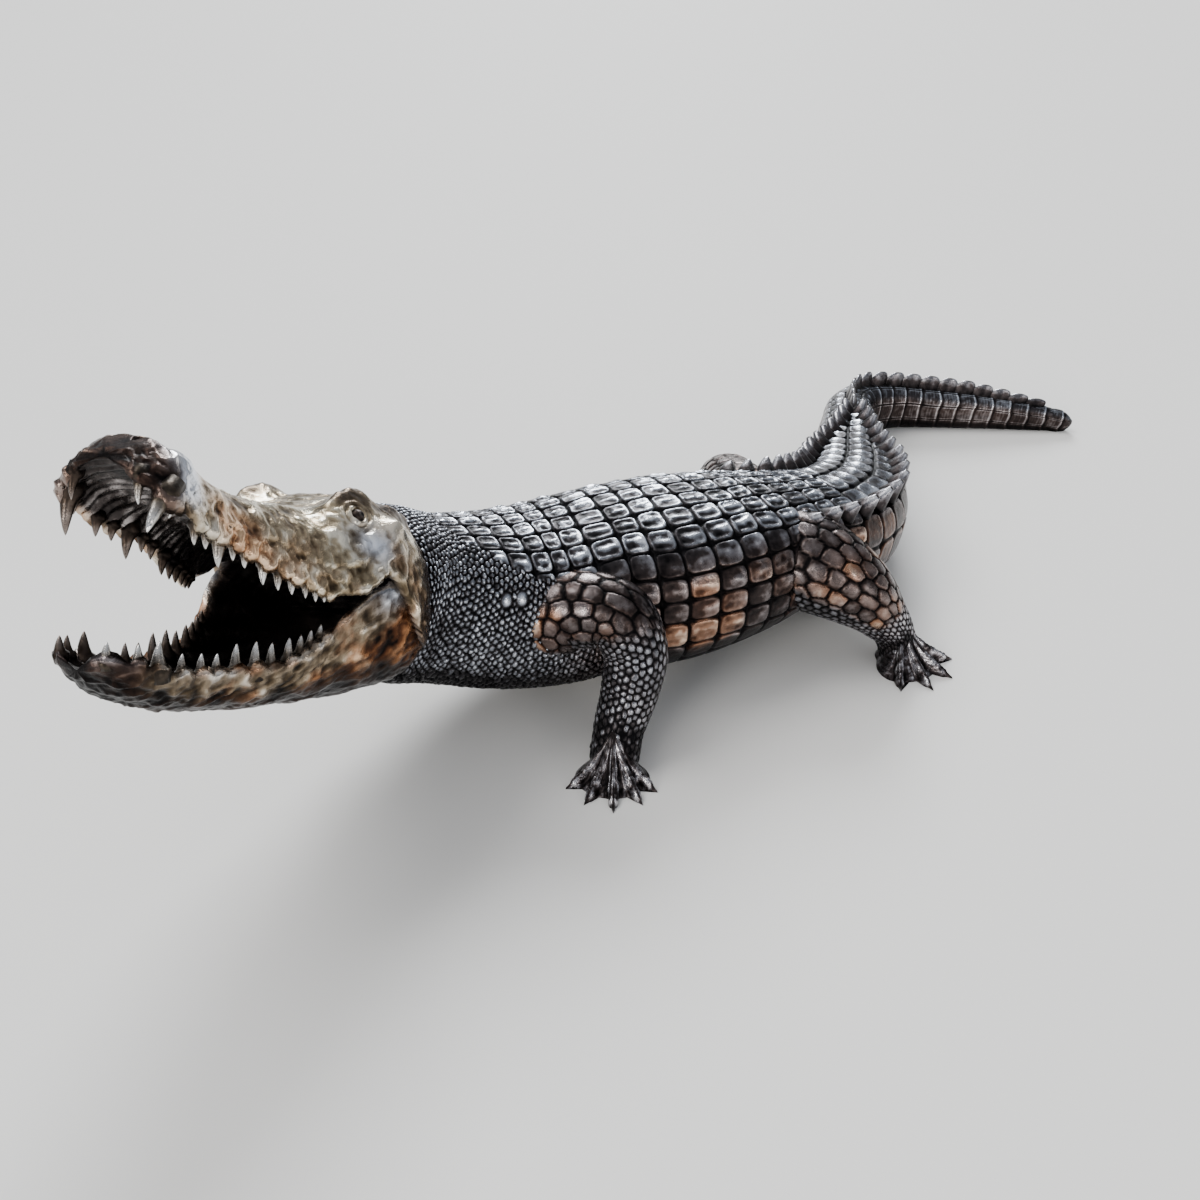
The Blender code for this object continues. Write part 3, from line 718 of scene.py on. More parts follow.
def jaw_places(table, teeth, rows):
    """Places along a jaw, its sizes there, and its lip's swelling."""
    along = spaced(table[0, 0], table[-1, 0], rows, 1.35)
    return along, smooth(table[:, 0], table, along), socket_swell(along, teeth, SOCKET_WIDTH)


def jaw_section(along, half_width, crown, lip, inside, sides, mouth_sides):
    """Rings of a jaw: a round outside from lip to lip, then a hollowed inside back again."""
    angle = np.linspace(0.0, math.pi, sides + 1)
    inner = np.linspace(-1.0, 1.0, mouth_sides + 1)[1:-1]
    along = along[:, None]
    half_width, crown, lip, inside = (x[:, None] for x in (half_width, crown, lip, inside))
    y_out = half_width * (np.sign(np.cos(angle)) * np.abs(np.cos(angle)) ** 0.85)[None]
    z_out = lip + (crown - lip) * (np.sin(angle) ** 0.8)[None]
    y_in = inner[None] * half_width * MOUTH_WIDTH
    z_in = lip + (inside - lip) * (1 - inner**4)[None]
    y = np.concatenate([y_out, y_in], axis=1)
    z = np.concatenate([z_out, z_in], axis=1)
    return np.stack([np.broadcast_to(along, y.shape), y, z], axis=-1)


def outside_of(shares, sides):
    """1 on the outside of a jaw, and 0 inside the mouth."""
    outside = np.zeros(shares.shape[:2])
    outside[:, :sides + 1] = 1.0
    return outside


def pebbled_edge(grid, normal, outside, x):
    """Breaks a jaw's rear edge into the neck's pebbles; says where, and how high they stand."""
    rear = outside * (1 - step_up(0.00, 0.13, x + 0.05 * noise(grid, 0.05, 19)))
    across = grid[..., 2] + 0.4 * grid[..., 1]
    dots, _ = pebble_height(grid[..., 0] / PEBBLE + 40, across / PEBBLE, 0.45, 43)
    return grid + normal * (0.0045 * (dots - 0.5) * rear)[..., None], rear, dots


def height_relief(height, lumps):
    """How far a point stands out of its surroundings, for the patina."""
    return 110 * lumps + 26 * (height - lumps)


def upper_forms(shares, lip, swell):
    """Heights of the upper head's own forms: bosses, lip and the disc round the nostrils."""
    x, y, z = shares[..., 0], np.abs(shares[..., 1]), shares[..., 2]
    above_lip = z - lip[:, None]
    height = 0.0
    for at, out, up, spread_x, spread_y, spread_z, rise in HEAD_FORMS:
        height = height + rise * bell(x - at, spread_x) * bell(y - out, spread_y) * bell(z - up, spread_z)
    # Lip: a swelling over each root, and a dent above it
    near_lip = bell(above_lip - 0.022, 0.030) * step_up(0.28, 0.42, x)
    height = height + 0.0065 * near_lip * (swell[:, None] - 0.35)
    height = height + 0.004 * bell(above_lip - 0.010, 0.016) * step_up(0.02, 0.2, x)
    dent = bell(above_lip - 0.075 - 0.010 * noise(shares, 0.08, 12), 0.012)
    height = height - 0.004 * dent * bell(x - 0.55, 0.28)
    # Snout: the raised disc round the nostrils, and their slits
    nose = np.hypot((x - NOSTRIL_AT[0]) / 0.055, y / 0.080)
    on_top = step_up(0.03, 0.09, z)
    height = height + 0.005 * (1 - step_up(0.45, 1.25, nose)) * on_top
    height = height - 0.002 * bell(nose - 1.20, 0.16) * on_top
    slit = np.hypot((x - NOSTRIL_AT[0]) / 0.022, (y - NOSTRIL_AT[1]) / 0.012)
    return height - 0.012 * (1 - step_up(0.5, 1.1, slit)) * on_top


def upper_patina(shares, lip, outside, rear, relief):
    """Dark brow, crown and snout's tip; gold forehead, copper lip, and painted highlights on the cheek and
    snout.
    """
    x, y, z = shares[..., 0], np.abs(shares[..., 1]), shares[..., 2]
    above_lip = z - lip[:, None]
    brow = bell(x - 0.33, 0.12) * bell(y - 0.160, 0.045) * step_up(0.115, 0.15, z)
    crown = step_up(0.28, 0.16, x) * step_up(0.12, 0.17, z)
    tip = step_up(0.86, 0.95, x)
    relief = relief * (1 - 0.45 * brow) * (1 - 0.40 * crown) * (1 - 0.35 * tip)
    gold = outside * (1 - rear) * (1 - 0.75 * brow) * (1 - 0.8 * crown) * (1 - tip)
    gold = gold * (0.65 + 0.35 * bell(x - 0.45, 0.20))
    copper = bell(above_lip - 0.03, 0.075) * outside * (1 - tip) * (1 - rear)
    # Painted highlights: silver-blue patches on the cheek and on the snout's side
    cheek_highlight = bell(x - 0.30, 0.07) * bell(z - 0.04, 0.055)
    snout_highlight = bell(x - 0.885, 0.050) * step_up(0.02, 0.08, y) * step_up(-0.04, 0.02, z)
    painted_highlight = np.clip(cheek_highlight + snout_highlight, 0, 1) * outside
    return {
        "relief": relief + 0.60 * painted_highlight,
        "gold": gold * (1 - painted_highlight),
        "copper": copper * (1 - painted_highlight),
        "inside": 1 - outside,
        "painted_sheen": painted_highlight,
    }


def make_upper_head(rows, sides, mouth_sides, material):
    """Skull and upper jaw: eye mounds, lids, wrinkled hide, and folds across the mouth's roof."""
    along, sizes, swell = jaw_places(UPPER_JAW, UPPER_TEETH, rows)
    lip = sizes[:, 3] - LIP_WAVE * swell * step_up(0.30, 0.42, along)
    shares = jaw_section(along, sizes[:, 1], sizes[:, 2], lip, sizes[:, 4], sides, mouth_sides)
    mound = ((shares[..., 0] - MOUND_ALONG) / MOUND_REACH[0]) ** 2
    mound = mound + ((np.abs(shares[..., 1]) - MOUND_OUT) / MOUND_REACH[1]) ** 2
    shares[:, :sides + 1, 2] += (MOUND_RISE * np.clip(1 - mound, 0, 1) ** 1.6)[:, :sides + 1]
    grid = in_head(shares, UPPER_PITCH)
    normal = grid_normals(grid)
    outside = outside_of(shares, sides)
    x, z = shares[..., 0], shares[..., 2]
    above_lip = z - lip[:, None]
    height = upper_forms(shares, lip, swell)

    # Rugose hide: worn lumps, wrinkles and pits
    lumps = rough(grid, 0.042, 51) * 0.0036 + rough(grid, 0.013, 61, 2) * 0.0032
    ridged = 1 - np.abs(noise(grid, 0.032, 71))
    crossed = 1 - np.abs(noise(grid * np.array((1.6, 1.0, 0.8)), 0.017, 75))
    lumps = lumps + 0.0028 * (ridged**4 - 0.3) + 0.0024 * (crossed**3 - 0.35)
    height = height + lumps * outside * (0.55 + 0.75 * (1 - step_up(0.0, 0.09, above_lip)))
    # Folds of the cheek, running back and down from the mouth's corner
    fold = np.sin(95 * (above_lip + 0.35 * x) + 2.5 * noise(grid, 0.06, 15))
    cheek = bell(x - 0.06, 0.09) * step_up(0.16, 0.02, z)
    height = height + 0.0020 * fold * cheek
    # Cross folds of the mouth's roof
    roof = 0.0015 * np.sin(240 * x + 6 * noise(grid, 0.05, 8))
    height = np.where(outside > 0, height, roof)
    grid = grid + normal * height[..., None]
    # Eyes: lids as rings round a sunk socket
    for flank in (1, -1):
        reach = np.linalg.norm(grid - eye_centre(flank), axis=-1)
        ring = 0.0
        for radius, spread, rise in LIDS:
            ring = ring + rise * bell(reach - radius, spread)
        ring = ring - 1.3 * np.maximum(0.0, EYE_RADIUS - reach)
        grid = grid + normal * (ring * outside)[..., None]
        lumps = lumps + 0.35 * ring * outside
    grid, rear, dots = pebbled_edge(grid, normal, outside, x)
    relief = np.clip(0.62 + height_relief(height, lumps), 0.0, 1.1)
    relief = blend(relief, 0.9 * dots - 0.1, rear)
    marks = upper_patina(shares, lip, outside, rear, relief)
    return skin_object("upper_head", grid, material, marks)


def lower_patina(x, below_lip, thick, outside, rear, relief):
    """Dark underside and tip, a copper side, and painted highlights on the jaw's corner and lip."""
    under = step_up(0.50, 0.85, below_lip / thick)
    tip = step_up(0.86, 0.94, x)
    relief = relief * (1 - 0.5 * under * outside) * (1 - 0.4 * tip)
    # Painted highlight: a silver patch at the jaw's corner and a bright line along the lip
    corner = outside * bell(x - 0.20, 0.07) * bell(below_lip - 0.03, 0.06)
    painted_highlight = np.clip(corner + 0.35 * outside * bell(below_lip, 0.02), 0, 1)
    plain = outside * (1 - under) * (1 - tip) * (1 - rear)
    return {
        "relief": relief + 0.25 * painted_highlight,
        "gold": 0.50 * plain * (1 - painted_highlight),
        "copper": 2.2 * plain * (1 - painted_highlight),
        "inside": (1 - outside) * 0.9,
        "painted_sheen": painted_highlight * (1 - rear),
    }


def make_lower_jaw(rows, sides, mouth_sides, material):
    """Lower jaw, with the tongue on the grooved floor of the mouth."""
    along, sizes, swell = jaw_places(LOWER_JAW, LOWER_TEETH, rows)
    lip = sizes[:, 3] + LIP_WAVE * (swell - 0.3) * step_up(0.30, 0.42, along)
    shares = jaw_section(along, sizes[:, 1], sizes[:, 2], lip, sizes[:, 4], sides, mouth_sides)
    grid = in_head(shares, LOWER_PITCH)
    normal = grid_normals(grid)
    outside = outside_of(shares, sides)
    x, y, z = shares[..., 0], np.abs(shares[..., 1]), shares[..., 2]
    below_lip = lip[:, None] - z

    # Lip: a swelling over each root, and a dent below it
    height = 0.006 * bell(below_lip - 0.020, 0.026) * (swell[:, None] - 0.3) * step_up(0.28, 0.42, x)
    height = height + 0.004 * bell(below_lip - 0.012, 0.018)
    height = height - 0.003 * bell(below_lip - 0.070 + 0.008 * noise(shares, 0.07, 4), 0.010)
    # Rugose hide
    lumps = rough(grid, 0.048, 52) * 0.0036 + rough(grid, 0.014, 62, 2) * 0.0030
    ridged = 1 - np.abs(noise(grid * np.array((1.0, 1.0, 1.7)), 0.036, 72))
    crossed = 1 - np.abs(noise(grid * np.array((0.8, 1.0, 1.6)), 0.018, 76))
    lumps = (lumps + 0.0028 * (ridged**4 - 0.3) + 0.0014 * (crossed**3 - 0.35)) * outside
    # Tongue and the grooved floor of the mouth
    tongue = 0.016 * bell(y, 0.085) * step_up(0.10, 0.2, x) * (1 - step_up(0.70, 0.80, x))
    grooves = 0.0022 * np.sin(150 * y + 3 * noise(grid, 0.07, 18)) * step_up(0.15, 0.3, x)
    height = height + lumps
    height = np.where(outside > 0, height, tongue + grooves)
    grid = grid + normal * height[..., None]
    grid, rear, dots = pebbled_edge(grid, normal, outside, x)
    stands_out = np.where(outside > 0, height_relief(height, lumps), 120 * grooves)
    relief = np.clip(0.54 + stands_out, 0.0, 1.1)
    relief = blend(relief, 0.9 * dots - 0.1, rear)
    thick = np.maximum(lip - sizes[:, 2], 0.06)[:, None]
    marks = lower_patina(x, below_lip, thick, outside, rear, relief)
    return skin_object("lower_jaw", grid, material, marks)


def make_teeth(name, teeth, table, pitch, sense, material):
    """Curved cones with a gum collar, both sides of a jaw."""
    share = np.array(TOOTH_SHARES)
    girth = np.array(TOOTH_GIRTHS)
    angle = np.linspace(0, 2 * math.pi, TOOTH_SIDES, endpoint=False)
    for k, (along, length, radius) in enumerate(teeth):
        row = smooth(table[:, 0], table, along)
        for flank, hand in ((1, "near"), (-1, "far")):
            gum = np.array([along, flank * row[1] * GUM_INSET, row[3]])
            # The near upper front fangs rake forward
            is_fang = sense < 0 and flank > 0 and 0.88 < along < 0.97
            lean = np.array([FANG_RAKE if is_fang else TOOTH_RAKE, flank * 0.04, sense])
            root = in_head(gum, pitch)
            axis = unit(in_head(gum + lean, pitch) - root)
            back = -head_axes(pitch)[0]
            side = unit(np.cross(axis, back))
            front = np.cross(side, axis)
            bow = 0.20 * length * np.maximum(share, 0) ** 2
            middle = root + axis * (share * length)[:, None] + back * bow[:, None]
            spread = np.cos(angle)[:, None] * side + np.sin(angle)[:, None] * front
            grid = middle[:, None] + spread[None] * (radius * girth)[:, None, None]
            relief = (0.35 + 0.7 * np.clip(share, 0, 1))[:, None]
            # Near teeth get the full painted highlight and sheen; the far ones get less, painted duller as
            # in shade
            painted_highlight = 1.0 if flank > 0 else FAR_TEETH_HIGHLIGHT
            marks = {"relief": relief * (0.55 + 0.45 * painted_highlight), "gold": 0.35 * painted_highlight, "painted_sheen": 0.9 * painted_highlight}
            skin_object(f"{name}_{hand}_{k}", grid, material, marks)


def eye_centre(flank):
    return in_head((EYE_AT[0], flank * EYE_AT[1], EYE_AT[2]), UPPER_PITCH)


def make_eyes(material):
    """Eyeballs with a ringed iris and a sunk pupil, in the upper head's lids."""
    tilt = np.linspace(0, math.pi, 25)
    turn = np.linspace(0, 2 * math.pi, 32, endpoint=False)
    x = np.sin(tilt)[:, None] * np.cos(turn)
    y = np.sin(tilt)[:, None] * np.sin(turn)
    z = np.broadcast_to(np.cos(tilt)[:, None], x.shape)
    forward, left, up = head_axes(UPPER_PITCH)
    for flank, hand in ((1, "near"), (-1, "far")):
        gaze = unit(left * flank * 0.85 + up * 0.35 + forward * 0.15)
        across = unit(np.cross(up, gaze))
        upright = np.cross(gaze, across)
        ring = bell(tilt - 0.42, 0.09)[:, None] * 0.06 - bell(tilt, 0.20)[:, None] * 0.10
        ball = EYE_RADIUS * (1 + ring)
        way = x[..., None] * across + y[..., None] * upright + z[..., None] * gaze
        grid = eye_centre(flank) + ball[..., None] * way
        # The eyeballs get half of the painted silver sky sheen
        marks = {"relief": np.clip(0.30 + 6 * ring, 0, 1), "gold": 0.1, "painted_sheen": 0.5}
        skin_object(f"eye_{hand}", grid, material, marks)


# Limbs

def limb_rings(path, rows, sides):
    """Rings of points round a limb that don't twist, the distance of each ring, and the angles."""
    keys = chord_keys(path[:, :3])
    s = np.linspace(0.0, keys[-1], rows)
    line = smooth(keys, path, s)
    ahead = unit(smooth(keys, path[:, :3], s + 1e-3) - smooth(keys, path[:, :3], s - 1e-3))
    side = unit(np.cross(ahead[0], (0.0, 0.0, 1.0)))
    angle = np.linspace(0, 2 * math.pi, sides, endpoint=False)
    grid = np.zeros((rows, sides, 3))
    for k in range(rows):
        side = unit(side - (side @ ahead[k]) * ahead[k])
        up = np.cross(side, ahead[k])
        spread = side * np.cos(angle)[:, None] + up * np.sin(angle)[:, None]
        grid[k] = line[k, :3] + line[k, 3] * spread
    return grid, s, angle


def make_limb(name, path, rows, sides, around, cell, big_until, hand, copper, material):
    """A limb's skin: large rounded scales down to a given share of it, then small pebbles."""
    grid, s, angle = limb_rings(path, rows, sides)
    normal = grid_normals(grid)
    ss, aa = np.meshgrid(s, angle / (2 * math.pi), indexing="ij")
    share = ss / s[-1]
    big, big_tag = pebble_height(ss / cell, aa * around, SCALE_JITTER, 81, around, 0.14)
    small_cell = cell * SMALL_SCALE
    fine, fine_tag = pebble_height(ss / small_cell, aa * around * 2, SCALE_JITTER, 82, around * 2, 0.26)
    # Large scales lie on the top and outer side, and small ones underneath
    outward = 0.75 * normal[..., 2] + 0.50 * hand * normal[..., 1] - 0.35 * np.maximum(0, -normal[..., 0])
    change = step_up(-0.03, 0.03, share - big_until + 0.03 * noise(grid, 0.05, 6))
    change = np.maximum(change, step_up(0.02, -0.10, outward + 0.08 * noise(grid, 0.05, 7)))
    depth = blend(BIG_SCALE_DEPTH, SMALL_SCALE_DEPTH, change)
    height = blend(big, fine, change)
    height = 0.55 + (height - 0.55) * step_up(0.02, 0.22, share)
    # Wrist or ankle: wrinkles
    wrinkle = rough(grid * np.array((1.0, 1.0, 0.45)), 0.010, 16, 2) * step_up(0.78, 0.90, share)
    height = height * (1 - 0.3 * step_up(0.80, 0.92, share)) + 0.5 * wrinkle
    grid = grid + normal * (depth * (height - 0.8))[..., None]
    tag = blend(big_tag, fine_tag, change)
    # The steel mark paints a silver sky sheen on the scales, more of it on the small ones
    marks = {
        "relief": np.clip(1.35 * height - 0.52, 0, 1.1),
        "copper": copper * (1 - 0.85 * change) * tag,
        "painted_sheen": 0.36 + 0.49 * change,
    }
    return skin_object(name, grid, material, marks)


def toe_profile(t, d, reach):
    """Heights of a toe and of its nail, at a distance along it and beside it."""
    share = t / reach
    knuckle = 0.0016 * (bell(share - 0.60, 0.05) + bell(share - 0.76, 0.05))
    flesh = (TOE_HALF_WIDTH - 0.0040 * step_up(0.35, 0.85, share) + knuckle) * step_up(0.94, 0.84, share)
    nail = NAIL_HALF_WIDTH * np.clip((1.0 - share) / 0.20, 0, 1) ** 0.8 * (share > 0.76)
    slope = FOOT_HEIGHT * np.clip(1 - 0.80 * share, 0, None) ** 2.0
    top = np.maximum(slope + 0.006, TOE_HEIGHT) + knuckle
    lines = 0.0010 * np.sin(2 * math.pi * t / WRINKLE_PITCH) * step_up(0.40, 0.55, share)
    on_toe = np.clip(1 - (d / np.maximum(flesh, 1e-5)) ** 2, 0, None) * (t > 0) * (flesh > 1e-4)
    ridge = (top + lines) * on_toe**0.5 * step_up(0.94, 0.82, share)
    on_nail = np.clip(1 - (d / np.maximum(nail, 1e-5)) ** 2, 0, None) * (nail > 1e-4)
    spur = (0.017 - 0.012 * step_up(0.80, 1.0, share)) * on_nail**0.5
    return ridge, spur


def foot_profile(r, phi, turns, length):
    """Height of a foot over the floor at a distance and direction from its ankle, and its claws."""
    toes = np.radians(turns)
    off = np.maximum(np.maximum(toes[0] - phi, phi - toes[-1]), 0.0)
    slope_end = HEEL_REACH + (0.70 * length - HEEL_REACH) * step_up(1.3, 0.1, off)
    height = FOOT_HEIGHT * np.clip(1 - r / slope_end, 0, None) ** 1.25
    claw = np.zeros_like(r)
    # The outer toes are a little shorter
    reach_of = [length * (1.0 - 0.10 * abs(n - (len(turns) - 1) / 2) / 2) for n in range(len(turns))]
    for toe, reach in zip(toes, reach_of):
        ridge, spur = toe_profile(r * np.cos(phi - toe), r * np.sin(phi - toe), reach)
        claw = np.where((spur > ridge) & (spur > height), 1.0, claw)
        height = np.maximum(height, np.maximum(ridge, spur))
    # Skin between neighbouring toes, scalloped at its edge
    for first, second, a, b in zip(toes[:-1], toes[1:], reach_of[:-1], reach_of[1:]):
        between = (phi - first) / (second - first)
        inside = (between >= 0) & (between <= 1)
        scallop = 1 - WEB_SCALLOP * np.sin(math.pi * np.clip(between, 0, 1))
        edge = WEB_REACH * (a + (b - a) * between) * scallop
        fold = 0.0020 * np.cos(6 * math.pi * between) * step_up(0.3, 0.7, r / edge)
        slope = FOOT_HEIGHT * np.clip(1 - 0.80 * r / edge, 0, None) ** 1.6
        sheet = (np.maximum(slope, WEB_THICK) + fold) * (r < edge)
        height = np.where(inside, np.maximum(height, sheet), height)
    return height, claw


def foot_directions(toes, per_gap):
    """Directions round an ankle, which crowd round each toe's own line."""
    directions = []
    stops = np.concatenate([[toes[0] - 0.30], toes, [toes[-1] + 0.30]])
    for low, high in zip(stops[:-1], stops[1:]):
        t = np.arange(per_gap) / per_gap
        eased = t - 0.148 * np.sin(2 * math.pi * t)
        directions.append(low + (high - low) * eased)
    rest = 2 * math.pi - (stops[-1] - stops[0])
    directions.append(stops[-1] + rest * np.arange(per_gap) / per_gap)
    return np.concatenate(directions)


def make_foot(name, at, heading, turns, length, material):
    """A webbed foot with clawed toes, as one skin over the floor."""
    phi = foot_directions(np.radians(turns), FOOT_PER_GAP)
    fine = np.linspace(0, length * 1.02, 700)
    reach = np.zeros(len(phi))
    for k, way in enumerate(phi):
        turn = (way + math.pi) % (2 * math.pi) - math.pi
        tall, _ = foot_profile(fine, np.full(fine.shape, turn), turns, length)
        reach[k] = fine[np.max(np.nonzero(tall > 0.0015))]
    share = np.linspace(1.0, 0.0, FOOT_ROWS) ** 0.75
    r = share[:, None] * reach[None]
    way = (np.broadcast_to(phi, r.shape) + math.pi) % (2 * math.pi) - math.pi
    z, claw = foot_profile(r, way, turns, length)
    z[0] = CLEARANCE
    turned = way + math.radians(heading)
    grid = np.stack([at[0] + r * np.cos(turned), at[1] + r * np.sin(turned), z], axis=-1)
    bumps, _ = pebble_height(grid[..., 0] / FOOT_BUMP, grid[..., 1] / FOOT_BUMP, 0.5, 33)
    wrinkle = rough(grid * np.array((1.0, 1.0, 0.5)), 0.012, 34, 2)
    lift = (0.0016 * (bumps - 0.6) + 0.0034 * wrinkle) * (1 - claw)
    grid[1:, :, 2] += lift[1:]
    # Toes and knuckles stand clear of the skin between them
    beside = 0.5 * (np.roll(z, 3, axis=1) + np.roll(z, -3, axis=1))
    relief = 0.50 + 60 * (z - beside) + 0.30 * (bumps - 0.5) * (1 - claw) + 0.45 * wrinkle
    # Painted sheen: a silver reflection of the sky painted over the whole foot
    marks = {"relief": np.clip(relief, 0, 1.1), "painted_sheen": 0.60}
    return skin_object(name, grid, material, marks)


# Crest of the tail

def upright_scale(paired, angle):
    """One upright scale: places along the tail, across it and up, and how it is rubbed.

    The up places are shares of its height. A paired one is a pointed fin, and a single one a round tab.
    """
    high = 1 - (1 - np.linspace(0.0, 1.0, 9)) ** 1.4
    if paired:
        half = 0.45 * ROW_PITCH * (1 - 0.78 * high**2.2)
    else:
        half = 0.60 * ROW_PITCH * np.sqrt(1 - 0.88 * high**3.6)
    thick = CREST_THICK * (1.45 - 1.1 * high) * (1.6 if paired else 1.0)
    back = (0.30 if paired else 0.16) * ROW_PITCH * high**1.4
    x = back[:, None] + half[:, None] * np.cos(angle)
    y = thick[:, None] * np.sin(angle) * (0.55 + 0.45 * np.abs(np.sin(angle)))
    ridge = 0.0009 * np.sin(angle * 5)[None] * (1 - high)[:, None]
    y = y + ridge * np.sign(np.sin(angle))
    rim = (np.abs(np.cos(angle)) ** 6)[None]
    up = high[:, None]
    relief = 0.08 + 0.86 * up * (0.80 + 0.40 * rim) - 0.20 * rim * (1 - up)
    return x, y, high * 1.12 - 0.18, np.clip(relief, 0, 1)


def make_crest(material):
    """Two rows of outward-leaning upright scales, then one row along the tail's top."""
    count = int(round((CREST_END - CREST_START) / ROW_PITCH))
    angle = np.linspace(0, 2 * math.pi, 20, endpoint=False)
    for k in range(count):
        s = CREST_START + (k + 0.5) * ROW_PITCH
        row = smooth(SPINE_KEYS, SPINE, s)
        centre, side, up, ahead = (x[0] for x in frame_along(SPINE_KEYS, SPINE[:, :3], np.array([s])))
        spread = max(0.0, min(1.0, (CREST_MERGE - s) / CREST_RAMP))
        grown = 0.5 + (s - CREST_START) / CREST_RAMP
        faded = 0.45 + (CREST_END - s) / CREST_RAMP
        tall = CREST_HEIGHT * min(1.0, grown, faded)
        for flank in (1, -1) if spread > 0.12 else (0,):
            lean = flank * CREST_LEAN * min(1.0, spread + 0.3)
            out = up * math.cos(lean) + side * math.sin(lean)
            seat = centre + side * flank * row[3] * CREST_OUT * spread
            seat = seat + up * row[4] * (0.97 - 0.17 * spread)
            across = np.cross(ahead, out)
            x, y, high, relief = upright_scale(flank != 0, angle)
            z = np.broadcast_to((high * tall)[:, None], x.shape)
            grid = seat + x[..., None] * ahead + y[..., None] * across + z[..., None] * out
            # Each crest scale gets a painted silver sky sheen
            skin_object(f"crest_{k}_{flank + 1}", grid, material, {"relief": relief, "painted_sheen": 0.7})


# Bronze

def colour_ramp(tree, factor, stops):
    node = tree.nodes.new("ShaderNodeValToRGB")
    tree.links.new(factor, node.inputs["Fac"])
    while len(node.color_ramp.elements) < len(stops):
        node.color_ramp.elements.new(0.5)
    for element, (at, colour) in zip(node.color_ramp.elements, stops):
        element.position = at
        element.color = (*colour, 1.0)
    return node.outputs["Color"]


def mark(tree, name):
    node = tree.nodes.new("ShaderNodeAttribute")
    node.attribute_name = name
    return node.outputs["Fac"]


def noise_node(tree, scale, detail, coords):
    node = tree.nodes.new("ShaderNodeTexNoise")
    node.inputs["Scale"].default_value = scale
    node.inputs["Detail"].default_value = detail
    tree.links.new(coords, node.inputs["Vector"])
    return node.outputs["Fac"]


def maths(tree, operation, a, b=None, clamp=False):
    node = tree.nodes.new("ShaderNodeMath")
    node.operation = operation
    node.use_clamp = clamp
    for socket, value in zip(node.inputs, (a, b)):
        if isinstance(value, (int, float)):
            socket.default_value = value
        elif value is not None:
            tree.links.new(value, socket)
    return node.outputs[0]


def swing(tree, value, middle, factor, clamp=False):
    """A value's distance from a middle, times a factor."""
    return maths(tree, "MULTIPLY", maths(tree, "SUBTRACT", value, middle), factor, clamp)


def mixed(tree, share, a, b):
    node = tree.nodes.new("ShaderNodeMix")
    node.data_type = "RGBA"
    tree.links.new(share, node.inputs["Factor"])
    tree.links.new(a, node.inputs["A"])
    tree.links.new(b, node.inputs["B"])
    return node.outputs["Result"]


def bronze():
    """Dark brown patina in the hollows, rubbed metal on the high places, and a painted sky sheen and painted
    highlights.
    """
    material = bpy.data.materials.new("bronze")
    material.use_nodes = True
    tree = material.node_tree
    shader = tree.nodes["Principled BSDF"]
    coords = tree.nodes.new("ShaderNodeTexCoord").outputs["Object"]
    broad = noise_node(tree, 7.0, 4.0, coords)
    fine = noise_node(tree, 60.0, 5.0, coords)
    grain = noise_node(tree, 420.0, 3.0, coords)

    worn = maths(tree, "ADD", mark(tree, "relief"), swing(tree, fine, 0.5, 0.55))
    worn = maths(tree, "ADD", worn, swing(tree, broad, 0.5, 0.5), clamp=True)

    # Painted sheen: the blue-white reflection of the sky, mixed over the brown where the mark asks for it
    sheen_share = maths(tree, "MULTIPLY", mark(tree, "painted_sheen"), 0.9, clamp=True)
    patches = swing(tree, broad, 0.44, 6.0, clamp=True)
    coppered = maths(tree, "MULTIPLY", mark(tree, "copper"), patches, clamp=True)
    colour = mixed(tree, sheen_share, colour_ramp(tree, worn, BROWN), colour_ramp(tree, worn, PAINTED_SKY_SHEEN))
    colour = mixed(tree, mark(tree, "gold"), colour, colour_ramp(tree, worn, PALE_GOLD))
    colour = mixed(tree, coppered, colour, colour_ramp(tree, worn, COPPER))
    colour = mixed(tree, mark(tree, "inside"), colour, colour_ramp(tree, worn, MOUTH))
    tree.links.new(colour, shader.inputs["Base Color"])

    shader.inputs["Metallic"].default_value = 0.95
    roughness = maths(tree, "ADD", maths(tree, "MULTIPLY", worn, -0.30), 0.45)
    roughness = maths(tree, "ADD", roughness, swing(tree, fine, 0.5, 0.22))
    tree.links.new(roughness, shader.inputs["Roughness"])

    bump = tree.nodes.new("ShaderNodeBump")
    bump.inputs["Strength"].default_value = 0.60
    bump.inputs["Distance"].default_value = 0.0026
    tree.links.new(maths(tree, "ADD", fine, maths(tree, "MULTIPLY", grain, 0.35)), bump.inputs["Height"])
    tree.links.new(bump.outputs["Normal"], shader.inputs["Normal"])
    return material


# Studio

def floor_material():
    material = bpy.data.materials.new("studio_floor")
    material.use_nodes = True
    shader = material.node_tree.nodes["Principled BSDF"]
    shader.inputs["Base Color"].default_value = FLOOR_COLOUR
    shader.inputs["Roughness"].default_value = 0.75
    return material


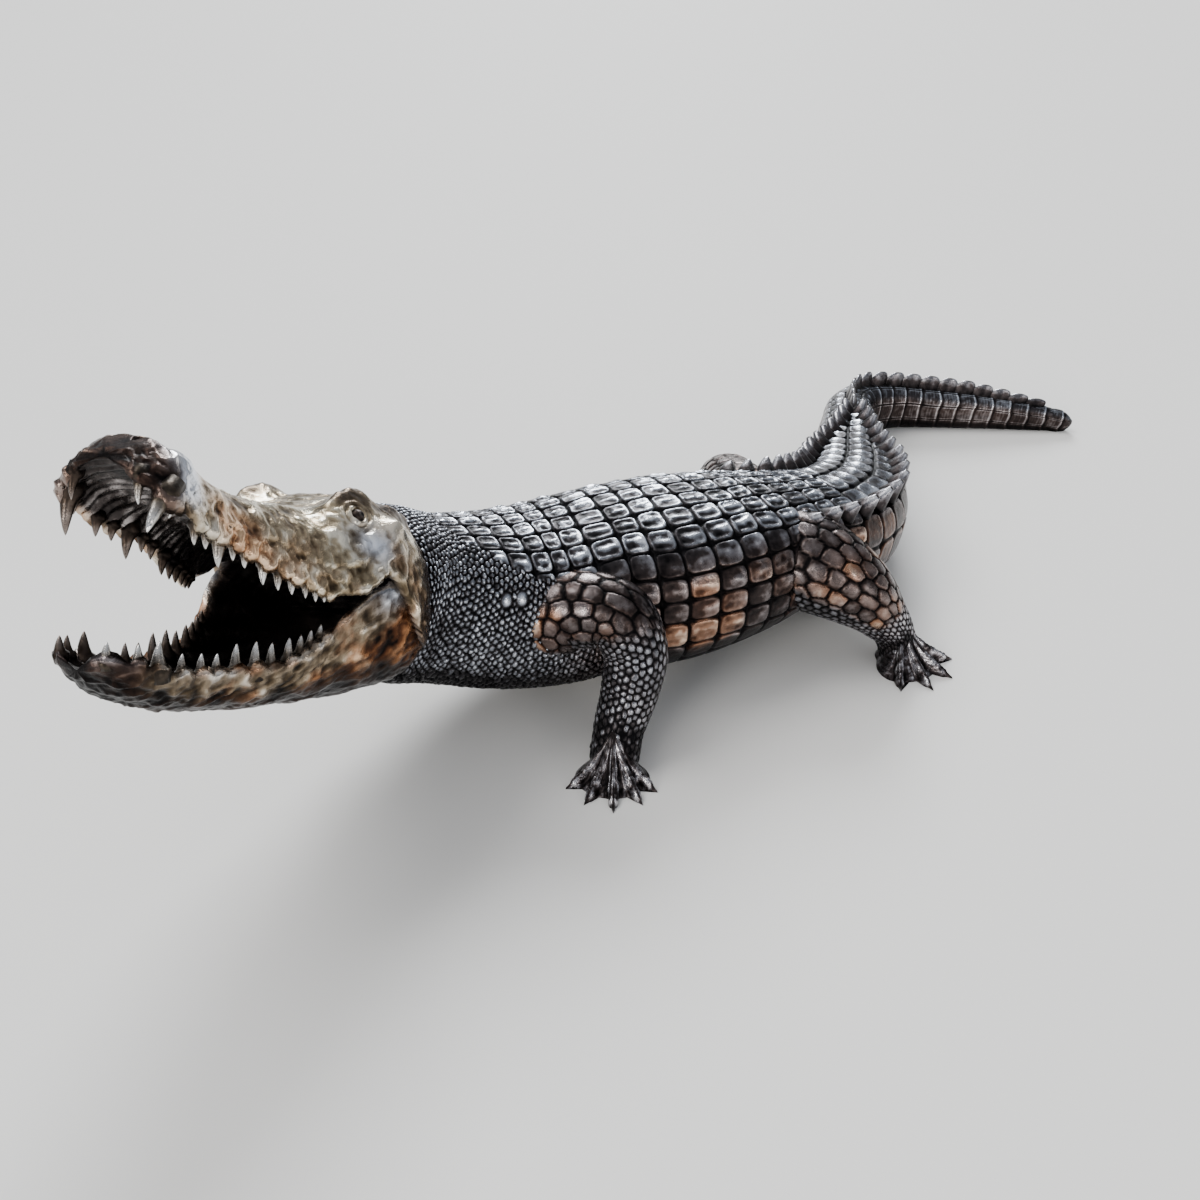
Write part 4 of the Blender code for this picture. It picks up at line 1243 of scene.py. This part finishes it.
def add_sun(name, stands_at, softness, strength, colour):
    """An even light over the whole floor; its softness is the angle that it fills, in degrees."""
    data = bpy.data.lights.new(name, "SUN")
    data.energy = strength
    data.angle = math.radians(softness)
    data.color = colour
    light = bpy.data.objects.new(name, data)
    light.rotation_euler = (-Vector(stands_at)).to_track_quat("-Z", "Y").to_euler()
    bpy.context.scene.collection.objects.link(light)


def studio_world():
    """A soft room: dim a little over eye level and bright overhead."""
    world = bpy.data.worlds.new("studio")
    world.use_nodes = True
    tree = world.node_tree
    way = tree.nodes.new("ShaderNodeTexCoord").outputs["Generated"]
    parts = tree.nodes.new("ShaderNodeSeparateXYZ")
    tree.links.new(way, parts.inputs[0])
    background = tree.nodes["Background"]
    tree.links.new(colour_ramp(tree, parts.outputs["Z"], ROOM_GLOW), background.inputs["Color"])
    background.inputs["Strength"].default_value = 0.75
    return world


def make_studio():
    mesh = bpy.data.meshes.new("studio_floor")
    h = FLOOR_HALF
    mesh.from_pydata([(-h, -h, 0), (h, -h, 0), (h, h, 0), (-h, h, 0)], [], [(0, 1, 2, 3)])
    mesh.materials.append(floor_material())
    floor = bpy.data.objects.new("studio_floor", mesh)
    bpy.context.scene.collection.objects.link(floor)

    bpy.context.scene.world = studio_world()
    for sun in SUNS:
        add_sun(*sun)

    data = bpy.data.cameras.new("camera")
    data.lens = LENS_MM
    data.sensor_width = SENSOR_MM
    camera = bpy.data.objects.new("camera", data)
    camera.location = (CAMERA_X, CAMERA_Y, CAMERA_HEIGHT)
    camera.rotation_euler = Euler((math.pi / 2 - CAMERA_DOWN, 0.0, CAMERA_TURN))
    bpy.context.scene.collection.objects.link(camera)
    bpy.context.scene.camera = camera


def main():
    metal = bronze()
    for name, stretch in BODY_PARTS.items():
        make_body_part(name, *stretch, metal)
    make_upper_head(*UPPER_MESH, metal)
    make_lower_jaw(*LOWER_MESH, metal)
    make_teeth("upper_tooth", UPPER_TEETH, UPPER_JAW, UPPER_PITCH, -1, metal)
    make_teeth("lower_tooth", LOWER_TEETH, LOWER_JAW, LOWER_PITCH, 1, metal)
    make_eyes(metal)
    for name, limb in LIMBS.items():
        make_limb(name, *limb, metal)
    for name, foot in FEET.items():
        make_foot(name, *foot, metal)
    make_crest(metal)
    make_studio()


main()
